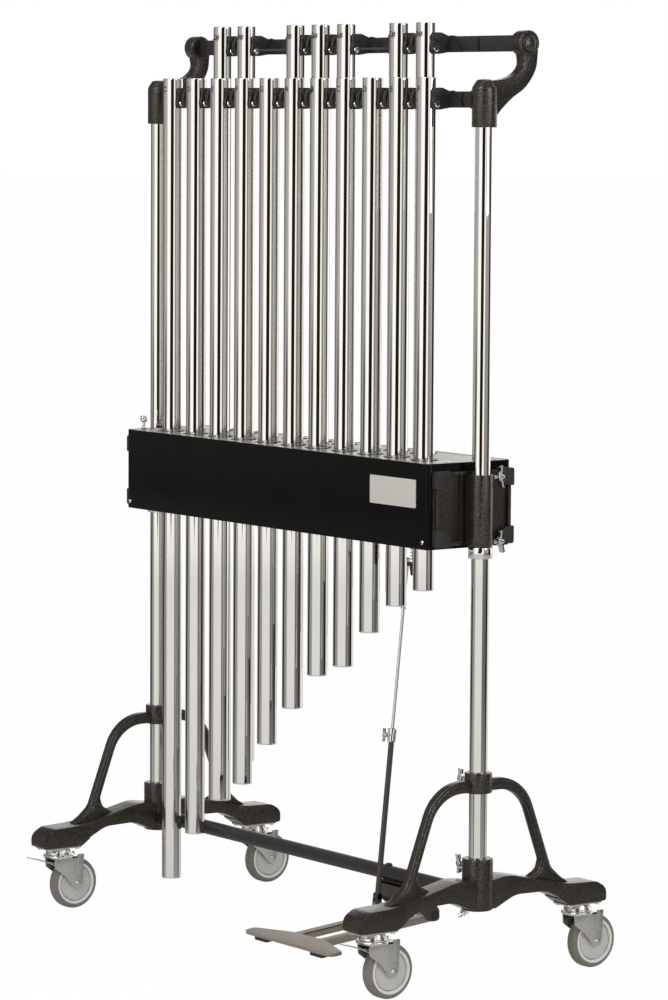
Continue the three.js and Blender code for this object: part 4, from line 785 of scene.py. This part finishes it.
# Skin, rim, wide rib and narrow rib: outline, its holes, height over the box's end, radius of the edges
web_layers = (
    (block(-86, 798, 86, 927, 4), (), 3.5, 0.8),
    (block(-83, 796.5, 86, 928.5, 4), (block(-75.5, 804, 79.5, 921, 6),), 10, 3),
    (block(-29, 800, -23, 925, 1), (), 8.5, 2.8),
    (block(27, 800, 31, 925, 1), (), 5.5, 1.8),
)
for name, side in sides:
    face = side * bracket_face
    bm = bmesh.new()
    for outline, holes, rise, edge in web_layers:
        plate(bm, "x", outline, face, face + side * rise, rim=edge, holes=holes)
    piece("box_bracket_web_" + name, bm, "box", hammered)
    bm = bmesh.new()
    for y, inward in ((-87, 1), (90, -1)):
        for z, upward in ((794, 1), (931, -1)):
            pad = soft([(y, z, 5), (y + inward * 33, z, 2), (y + inward * 31, z + upward * 30, 22),
                        (y, z + upward * 32, 2)], 7)
            plate(bm, "x", pad, face, face + side * 14, rim=3)
    piece("box_bracket_pads_" + name, bm, "box", rail_coat)
    bm = bmesh.new()
    neck = block(face, -post_radius, side * collar_end, post_radius)
    plate(bm, "z", neck, bracket_low + 0.6, bracket_high - 0.7)
    sleeve = ring(sliding_bore, bracket_radius, bracket_low, bracket_high, 1.5)
    turned(bm, "z", (side * post_x, 0), sleeve, 56)
    for level, z in reversed(clamp_heights):
        turned(bm, "y", (side * post_x, z), soft(clamp_boss, 3, False), 28)
    piece("box_bracket_casting_" + name, bm, "box", hammered, "box_bracket_" + name)

# %% [markdown]
# ## Wing screws
# A wing screw is turned first, and its two wings are forged outwards and thinned. So the hub and shaft are
# spun, and the wings are one flat outline with well rounded rims. All of them share one function and are
# turned into place by a matrix.


# %% Wing screws
def wing_screw(bm, start, low, high, span, thick, shaft, hub):
    """Along +Z: a plain shaft, a turned hub and two wings swept outwards"""
    rise = high - low
    turned(bm, "z", (0, 0), soft([
        (0, start), (shaft, start, 0.3), (shaft, low), (hub, low, hub * 0.2),
        (hub, low + rise * 0.5, hub * 0.2), (hub * 0.8, high, hub * 0.3), (0, high)], 4, False), 28)
    wing_shares = ((0.2, 0.0, 0), (0.45, 0.4, 0.12), (0.88, 0.48, 0.1), (1, 0.78, 0.08), (0.9, 1, 0.07),
                   (0.4, 0.86, 0.15), (0.15, 0.97, 0))
    half = [(a * span, low + b * rise, r * span) for a, b, r in wing_shares]
    plate(bm, "y", soft(mirrored(half), 4), -thick / 2, thick / 2, rim=thick * 0.3)


def facing(direction, turn=90):
    """Turns +Z to one of the six directions, and the wings by a number of degrees"""
    towards = Vector(direction).to_track_quat("Z", "Y").to_matrix().to_4x4()
    return towards @ Matrix.Rotation(math.radians(turn), 4, "Z")


for name, side in sides:
    for level, z in clamp_heights:
        bm = bmesh.new()
        wing_screw(bm, start=sliding_bore, low=38, high=52, span=20.5, thick=7.5, shaft=3, hub=5.5)
        body = "wing_screw_%s_%s" % (name, level)
        where = Matrix.Translation((side * post_x, 0, z)) @ facing((0, 1, 0), 84)
        piece("thumb_screw_%s_%s" % (name, level), bm, body, chrome, body, placed=where)

# %% [markdown]
# ## Knob and small hardware on the lid
# The knob at the low tubes' end is a turned thumbscrew with a small collar, a thin neck and a round head. Six
# low dome screws hold the lid, a larger one near the high tubes.

# %% Knob and lid screws
knob_profile = soft([
    (0, 931.4), (2.2, 931.4), (2.2, 943.7), (5, 943.7, 0.6), (5, 947.4, 0.6), (2.4, 948.6), (2.4, 957.6),
    (5.6, 958.4, 0.8), (7, 960.4, 0.9), (7, 967.6, 1.2), (5.4, 970.4, 1.5), (0, 971.4)], 4, False)
bm = bmesh.new()
turned(bm, "z", knob_place, knob_profile, 32)
piece("thumb_knob", bm, "knob", chrome, "damper_knob")
lid_screws = ((461.5, -38.3, 5.2), (-461.5, 70, 4), (461.5, 70, 4), (0, -84.5, 4), (-225, -84.5, 4),
              (225, -84.5, 4))
bm = bmesh.new()
for x, y, radius in lid_screws:
    turned(bm, "z", (x, y), soft(outwards(lid_high, 1, [
        (0, -0.2), (radius, -0.2), (radius, 0.8, 0.3), (radius * 0.7, 2.2, 1), (0, 2.8)]), 4, False), 24)
piece("lid_screws", bm, "box", chrome)

# %% [markdown]
# ## Legs
# Each leg is one casting: a low arched beam with two feet, a high arch over it that braces the post, a tall
# socket and an upper collar. Their outlines are shares of the leg's reach and rise, so the shape keeps its
# proportions. The braces have a web and a flange like the arms above.

# %% Leg outlines
leg_reach, leg_rise, foot_bottom = 284, 267.5, 119.8
beam_shares = (
    (0.0602, 0.27, 0), (0.2, 0.29, 0.3), (0.66, 0.181, 0.25), (0.92, 0.15, 0.03), (0.96, 0.12, 0.03),
    (0.96, 0.04, 0.02), (0.7, 0.04, 0.06), (0.5, 0.145, 0.22), (0.25, 0.15, 0.22), (0.09, 0.075, 0),
    (0.0602, 0.075, 0),
)
foot_shares = (
    (0.64, 0.176, 0), (0.92, 0.165, 0.09), (1, 0.115, 0.07), (1, 0.023, 0.02), (0.694, 0.023, 0.035),
    (0.63, 0.07, 0),
)
brace_shares = (
    (0.062, 0.951, 0), (0.353, 0.951, 0.303), (0.585, 0.293, 0.106), (0.73, 0.16, 0), (0.42, 0.19, 0),
    (0.366, 0.22, 0), (0.486, 0.286, 0.056), (0.503, 0.353, 0.03), (0.325, 0.869, 0.246), (0.062, 0.869, 0),
)


def leg_outline(shares, hand, steps=10):
    """An outline on one side of the post from shares of the leg's reach and rise"""
    return soft([(hand * y * leg_reach, foot_bottom + z * leg_rise, r * leg_reach) for y, z, r in shares],
                steps)


# %% Sizes of the legs, their clamps and the caster plates
beam_half, foot_half_width, brace_half = 22, 25, 8
# The beam widens from this share of its reach, over that share of it, to meet the feet
widening, widening_start, widening_span = 0.136, 0.3, 0.3
leg_socket = ring(sliding_bore, 28, 137.3, 231.3, 2.5)
leg_collar = ring(sliding_bore, 25, 350.3, 387.3, 2)
crossbar_z, crossbar_radius, crossbar_half = 164.3, 13.5, 487.2
crossbar_boss = [(0, 488), (19, 488), (19, 461.5, 2.5), (13.8, 461.5), (13.8, 466), (0, 466)]
# Clamp screws: name, height, distance of the boss from the post's middle, turn of the wings in degrees
leg_clamps = (("collar", 369, 24, 98), ("socket", 213, 25.5, 84))
leg_boss = [(0, 0), (7.5, 0), (7.5, 8, 1.5), (0, 8)]
caster_y, plate_low, plate_high = 236, 123, 126.2
bolt_radius, bolt_low = 4.5, 119.6

# %% Legs with sockets, collars and caster plates
for name, side in sides:
    x = side * post_x
    bm = bmesh.new()
    for hand in (-1, 1):
        plate(bm, "x", leg_outline(beam_shares, hand), x - beam_half, x + beam_half, rim=3.5)
    for vert in bm.verts:
        outward = min(1, max(0, abs(vert.co.y) / leg_reach - widening_start) / widening_span)
        vert.co.x = x + (vert.co.x - x) * (1 + widening * outward)
    for hand in (-1, 1):
        plate(bm, "x", leg_outline(foot_shares, hand), x - foot_half_width, x + foot_half_width, rim=8)
        brace = leg_outline(brace_shares, hand)
        plate(bm, "x", brace, x - brace_half, x + brace_half, rim=2.5)
        plate(bm, "x", inset(brace, 4.5), x - 10.5, x + 10.5, rim=2)
        plate(bm, "x", inset(brace, -1.2), x - 3, x + 3, rim=1)
    turned(bm, "z", (x, 0), leg_socket, 56)
    turned(bm, "z", (x, 0), leg_collar, 56)
    turned(bm, "x", (0, crossbar_z), soft(outwards(0, side, crossbar_boss), 4, False), 48)
    for label, z, start, turn in leg_clamps:
        turned(bm, "x", (0, z), soft(outwards(x - side * start, -side, leg_boss), 3, False), 28)
    piece("leg_casting_" + name, bm, "base", hammered, "leg_" + name)
    bm = bmesh.new()
    for y in (-caster_y, caster_y):
        plate(bm, "z", block(x - 24, y - 40, x + 24, y + 40, 4), plate_low, plate_high, rim=0.6)
        for a in (-17, 17):
            for b in (-32, 32):
                plate(bm, "z", circle(x + a, y + b, bolt_radius, 6), bolt_low, plate_low + 0.2, rim=0.4)
    piece("caster_plates_" + name, bm, "base", zinc)
    spots = [(label, (x - side * start, 0, z), (-side, 0, 0), turn) for label, z, start, turn in leg_clamps]
    for label, spot, direction, turn in spots + [("crossbar", (side * 470, 0, 152), (0, 0, -1), 60)]:
        bm = bmesh.new()
        wing_screw(bm, start=4, low=20, high=33, span=19, thick=7, shaft=3, hub=5.2)
        piece("leg_screw_%s_%s" % (label, name), bm, "base", chrome,
              placed=Matrix.Translation(spot) @ facing(direction, turn))

# %% Crossbar
bm = bmesh.new()
pipe(bm, "x", (0, crossbar_z), crossbar_radius, -crossbar_half, crossbar_half, 1, 48)
piece("crossbar_tube", bm, "base", rail_coat, "crossbar")
bolt_head = soft([(0, 176), (7, 176), (7, 179.5, 0.6), (4.6, 182, 1.5), (0, 182.6)], 4, False)
bm = bmesh.new()
for x in (248, 320):
    turned(bm, "z", (x, 0), bolt_head, 24)
piece("crossbar_bolts", bm, "base", rail_coat)

# %% [markdown]
# ## Casters
# The fork is pressed zinc-plated steel: a round ball-race housing on top and two triangular cheeks that lean
# back to the axle. The wheel has a grey tyre, a lighter nylon rim and a flat cap. The front casters carry a
# brake tab as well. All four trail the same way, so one set of numbers serves them all.

# %% Outlines and profiles of a caster
axle = (33, 50)
fork_cheek = soft([
    (-20.9, 104.5), (-19.1, 84, 6), (4, 67, 20), (24, 44.5, 2), (29.4, 41, 2), (36.6, 41, 2), (43.8, 48, 6),
    (47.4, 108.5, 1.5), (33, 108.5, 1.5), (33, 104.5)], 6)
fork_stiffener = block(31.5, 70, 43.5, 106, 2)
ball_race = soft([
    (0, 101.8), (25, 101.8, 1), (29.5, 104, 1.5), (30.5, 107.5, 1.2), (29, 110, 0.8), (25.5, 110.6, 0.8),
    (25, 115, 2), (22, 121.5, 2), (20.3, 122.7, 0.6), (0, 122.7)], 5, False)
fork_rivet = [(0, 18), (2.6, 18), (2.6, 19.4, 0.6), (0, 19.8)]
axle_end = [(0, 20.6), (3.8, 20.6), (3.8, 22, 0.5), (0, 22.5)]
tyre = soft([(41.5, -11.4), (45, -12, 2), (50, -8, 5), (50, 8, 5), (45, 12, 2), (41.5, 11.4), (41.5, -11.4)],
            5, False)
nylon_rim = soft([(35.5, -9.5), (36.5, -11.8, 1), (41.4, -12.4, 1), (41.4, 12.4, 1), (36.5, 11.8, 1),
                  (35.5, 9.5), (35.5, -9.5)], 4, False)
hub_cap = soft([
    (4.3, -12, 0.3), (8, -12, 1), (10, -10.6, 1), (33.5, -9.8, 0.8), (34.5, -8.5), (34.5, 8.5),
    (33.5, 9.8, 0.8), (10, 10.6, 1), (8, 12, 1), (4.3, 12, 0.3), (4.3, -12)], 4, False)
wheel_parts = (("tyre", tyre, rubber), ("rim", nylon_rim, rim_nylon), ("cap", hub_cap, cap_nylon))

# %% Casters
for end, y in (("front", -caster_y), ("rear", caster_y)):
    for name, side in sides:
        where = Matrix.Translation((side * post_x, y, 0))
        label = "%s_%s" % (end, name)
        bm = bmesh.new()
        turned(bm, "z", (0, 0), ball_race, 56)
        plate(bm, "z", block(-18.5, -20.3, 18.5, 42, 4), 101.5, 104.5, rim=1.2)
        for hand in (-1, 1):
            plate(bm, "x", fork_cheek, hand * 16, hand * 18.5, rim=0.7)
            plate(bm, "x", fork_stiffener, hand * 18, hand * 19.4, rim=0.6)
            turned(bm, "x", (10, 90), soft(outwards(0, hand, fork_rivet), 3, False), 20)
            plate(bm, "x", circle(*axle, 6.5, 6), hand * 18.4, hand * 21, rim=0.5)
            turned(bm, "x", axle, soft(outwards(0, hand, axle_end), 3, False), 20)
        turned(bm, "x", axle, [(0, -18), (4, -18), (4, 18), (0, 18)], 24)
        piece("caster_housing_" + label, bm, "fork_" + label, zinc, "caster_fork_" + label, placed=where)
        for part, profile, finish in wheel_parts:
            bm = bmesh.new()
            turned(bm, "x", axle, profile, 72)
            piece("wheel_%s_%s" % (part, label), bm, "wheel_" + label, finish, placed=where,
                  stands_for="caster_wheel_" + label if part == "tyre" else ())

# %% Brakes on the front casters
brake_outline = soft([
    (-10, 88.5, 1), (-13, 92.6, 2), (-34, 99.5, 12), (-55, 107, 10), (-69, 109.6, 0.5), (-69, 107.8, 0.5),
    (-56, 104.8, 10), (-34, 97, 12), (-14, 90, 1)], 4)
brake_half, taper_start, taper = 11, -30, 0.0035
for name, side in sides:
    bm = bmesh.new()
    plate(bm, "x", brake_outline, -brake_half, brake_half, rim=0.4)
    for vert in bm.verts:
        vert.co.x *= 1 - taper * max(0, taper_start - vert.co.y)
    turned(bm, "x", (-9, 90.5), soft([(0, -brake_half), (4, -brake_half, 0.6), (4, brake_half, 0.6),
                                      (0, brake_half)], 3, False), 24)
    piece("brake_tab_" + name, bm, "brake_" + name, zinc, "caster_brake_" + name,
          placed=Matrix.Translation((side * post_x, -caster_y, 0)))

# %% [markdown]
# ## Pedal
# The pedal is steel plate cut in one piece, with a broad foot plate and two arms whose edges are folded down.
# It pivots behind the legs' line on a bracket that hangs from the crossbar. The sheet is one outline with two
# windows, and the folds are plates set on edge.

# %% Pedal
pedal_x, pivot_y, pivot_z, pedal_tilt = 284, 42, 92, 4.7
pedal_turn = Matrix.Rotation(math.radians(pedal_tilt), 4, "X")
pedal_place = Matrix.Translation((pedal_x, pivot_y, pivot_z)) @ pedal_turn
foot_plate = soft(mirrored([(134, -303, 11), (134, -277, 5), (60, -253, 14), (45.8, -250.5)]), 4)
arms = soft(mirrored([(45.8, -252.5), (46, -6, 2), (44, 0, 3)]), 4)
windows = [block(-28, -249, 28, -112, 5), block(-28, -81, 28, -9, 5)]
# The folds on the inner and the outer edge of each arm
folds = ((28, 31), (43, 46))
pivot_boss = [(0, 28), (8, 28, 0.8), (8, 46, 0.8), (0, 46)]
rod_ear = soft([(-110, 1), (-84, 1), (-90.6, 39, 6), (-102.6, 39, 6)], 6)
rod_pin = soft([(0, -5.5), (2.5, -5.5, 0.4), (2.5, 11.5, 0.4), (0, 11.5)], 3, False)
bm = bmesh.new()
plate(bm, "z", foot_plate, -3, 3, rim=1)
plate(bm, "z", arms, 0.2, 2.96, rim=0.5, holes=windows)
for hand in (-1, 1):
    for near, far in folds:
        plate(bm, "x", block(-253, -10, 0, 2, 2), hand * near, hand * far, rim=0.6)
    turned(bm, "x", (0, 0), soft(outwards(0, hand, pivot_boss), 3, False), 36)
turned(bm, "x", (0, 0), [(0, -28.5), (7, -28.5), (7, 28.5), (0, 28.5)], 36)
plate(bm, "x", rod_ear, 0.8, 5.2, rim=0.6)
turned(bm, "x", (-96.6, 33), rod_pin, 20)
# The pedal's lighter coat is painted reflection on the same bronze paint as the rod
piece("pedal_plate_and_arms", bm, "pedal", pedal_coat_painted_reflection, "pedal", placed=pedal_place)
bm = bmesh.new()
for hand in (-1, 1):
    plate(bm, "z", block(hand * 66, -301, hand * 104, -272, 3), -10, -2.9, rim=1)
piece("pedal_pads", bm, "pedal", dark_rubber, placed=pedal_place)

# %% Pedal bracket
hanger_near, hanger_far, hanger_top, sheet_thick = 46.8, 50.8, 150.5, 4
left_end, right_end = pedal_x - hanger_far, pedal_x + hanger_far
hanger_cheek = soft([
    (-16, hanger_top, 1), (-16, 123.5, 4), (32, 82, 10), (52, 82, 8), (52, 102, 8), (16, hanger_top, 1)], 6)
pivot_cap = [(0, 0), (8, 0, 0.5), (8, 4, 2), (0, 5)]
bm = bmesh.new()
for hand in (-1, 1):
    plate(bm, "x", hanger_cheek, pedal_x + hand * hanger_near, pedal_x + hand * hanger_far, rim=0.8)
plate(bm, "z", block(left_end, -16, right_end, 16, 1), hanger_top - sheet_thick, hanger_top, rim=0.6)
plate(bm, "y", block(left_end, 123.5, right_end, hanger_top - 0.1, 1), -16, -16 + sheet_thick, rim=0.6)
turned(bm, "x", (pivot_y, pivot_z), [
    (0, left_end - 0.3), (4, left_end - 0.3), (4, right_end + 0.3), (0, right_end + 0.3)], 24)
piece("pedal_hanger", bm, "base", rod_coat, "pedal_bracket")
bm = bmesh.new()
for hand in (-1, 1):
    face = pedal_x + hand * (hanger_far + 0.1)
    turned(bm, "x", (pivot_y, pivot_z), soft(outwards(face, hand, pivot_cap), 5, False), 32)
piece("pivot_caps", bm, "base", dark_rubber)

# %% [markdown]
# ## Rod from pedal to box
# The lower rod is a painted tube with a fork at its foot. A slim chromed rod slides in it and is held by a
# clamp with its own wing screw. Both lean back a little, so they are made upright and tilted by one matrix.

# %% Rods
rod_foot, rod_lean = (287, -57, 117), -5.927
rod_place = Matrix.Translation(rod_foot) @ Matrix.Rotation(math.radians(rod_lean), 4, "X")
painted_low, painted_high, clamp_z, crank_pin_z = 20.5, 300.3, 313, 547.4
fork_outline = soft([(-6, -6, 6), (6, -6, 6), (6, 20), (-6, 20)], 6)
clamp_sleeve = soft([
    (3.4, 300.4), (7, 300.4, 1), (8, 303, 1), (8, 324, 1.5), (6.5, 326, 0.5), (3.4, 326), (3.4, 300.4),
], 4, False)
# The slim rod ends in a nut that rests on the crank
slim_rod = soft([
    (0, 246), (3, 246), (3, 630), (3, 632, 0.1), (3.9, 632.4, 0.4), (3.9, 638.2, 0.6), (3, 639.2, 0.3),
    (3, 641), (0, 641)], 3, False)
bm = bmesh.new()
for hand in (-1, 1):
    plate(bm, "x", fork_outline, hand * 2.5, hand * 6.5, rim=0.8)
plate(bm, "z", block(-6.5, -6, 6.5, 6, 1.5), 9, 21, rim=1)
pipe(bm, "z", (0, 0), 5.2, painted_low, painted_high, 0.5, 32)
piece("painted_rod", bm, "lower_rod", rod_coat, "rod_lower", placed=rod_place)
bm = bmesh.new()
turned(bm, "z", (0, 0), clamp_sleeve, 36)
turned(bm, "y", (0, clamp_z), soft([(0, -7), (4.5, -7), (4.5, -12, 0.8), (0, -12)], 3, False), 24)
piece("rod_clamp_sleeve", bm, "lower_rod", chrome, placed=rod_place)
bm = bmesh.new()
turned(bm, "z", (0, 0), slim_rod, 24)
turned(bm, "x", (0, crank_pin_z), soft([(0, -7), (1.5, -7, 0.3), (1.5, 7, 0.3), (0, 7)], 3, False), 16)
piece("slim_rod", bm, "upper_rod", chrome, "rod_upper", placed=rod_place)
bm = bmesh.new()
wing_screw(bm, start=8.5, low=14, high=20.5, span=13, thick=5, shaft=2.2, hub=4)
piece("rod_thumb_screw", bm, "clamp_screw", chrome, "rod_clamp_screw",
      placed=rod_place @ Matrix.Translation((0, 0, clamp_z)) @ facing((0, -1, 0)))

# %% [markdown]
# ## Solids that keep their shape
# The damper carriage, its felts, the crank, its spring and the box floor are plain shapes in the real thing
# too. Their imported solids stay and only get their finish.

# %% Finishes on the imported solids
for node, material in (
    ("box_floor", box_lacquer), ("damper_carriage", aluminium), ("damper_felt_natural", felt),
    ("damper_felt_accidental", felt), ("damper_crank", rod_coat), ("damper_spring", zinc),
):
    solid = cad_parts[node]
    for holder in solid.material_slots:
        holder.material = material

# %% [markdown]
# ## Note letters
# Every tube has its note's letter near the top. Blender's own text makes the letter. It is cut into narrow
# upright strips, so that it can be bent round the tube without sinking into it, and is then thickened.


# %% A letter as a flat shape
letter_size, letter_weight = 15, 0.3


def flat_letter(text):
    """Blender's text as a flat mesh, a little bolder than the typeface"""
    curve = bpy.data.curves.new("letter", "FONT")
    curve.body, curve.size, curve.align_x, curve.offset = text, letter_size, "CENTER", letter_weight
    item = bpy.data.objects.new("letter", curve)
    bpy.context.scene.collection.objects.link(item)
    bpy.context.view_layer.update()
    drawn = bpy.data.meshes.new_from_object(item)
    bm = bmesh.new()
    bm.from_mesh(drawn)
    bpy.data.objects.remove(item)
    bpy.data.meshes.remove(drawn)
    return bm


# %% Letters bent round the tubes
letter_drop, ink_gap, ink_thickness, half_cuts = 25.4, 0.12, 0.1, 12
bend = tube_radius + ink_gap
for row, notes in rows:
    for note, step, length in notes:
        bm = flat_letter(note[0] + ("#" if "sharp" in note else ""))
        for cut in range(-half_cuts, half_cuts + 1):
            bmesh.ops.bisect_plane(bm, geom=bm.verts[:] + bm.edges[:] + bm.faces[:], dist=0.0001,
                                   plane_co=(cut, 0, 0), plane_no=(1, 0, 0))
        bmesh.ops.remove_doubles(bm, verts=bm.verts, dist=0.02)
        for vert in bm.verts:
            angle = vert.co.x / tube_radius
            vert.co = Vector((step * pitch + bend * math.sin(angle), row["y"] - bend * math.cos(angle),
                              row["top"] - letter_drop + vert.co.y))
        bmesh.ops.recalc_face_normals(bm, faces=bm.faces)
        bmesh.ops.solidify(bm, geom=bm.faces[:], thickness=ink_thickness)
        piece("letter_" + note, bm, "tube_" + note, letter_ink)

# %% [markdown]
# ## Tally of the pieces
# The number of pieces, their faces in all and the piece with the most faces are printed.

# %% Tally of the pieces
print("pieces:", len(tally), "faces:", sum(tally.values()), "largest:", max(tally, key=tally.get))
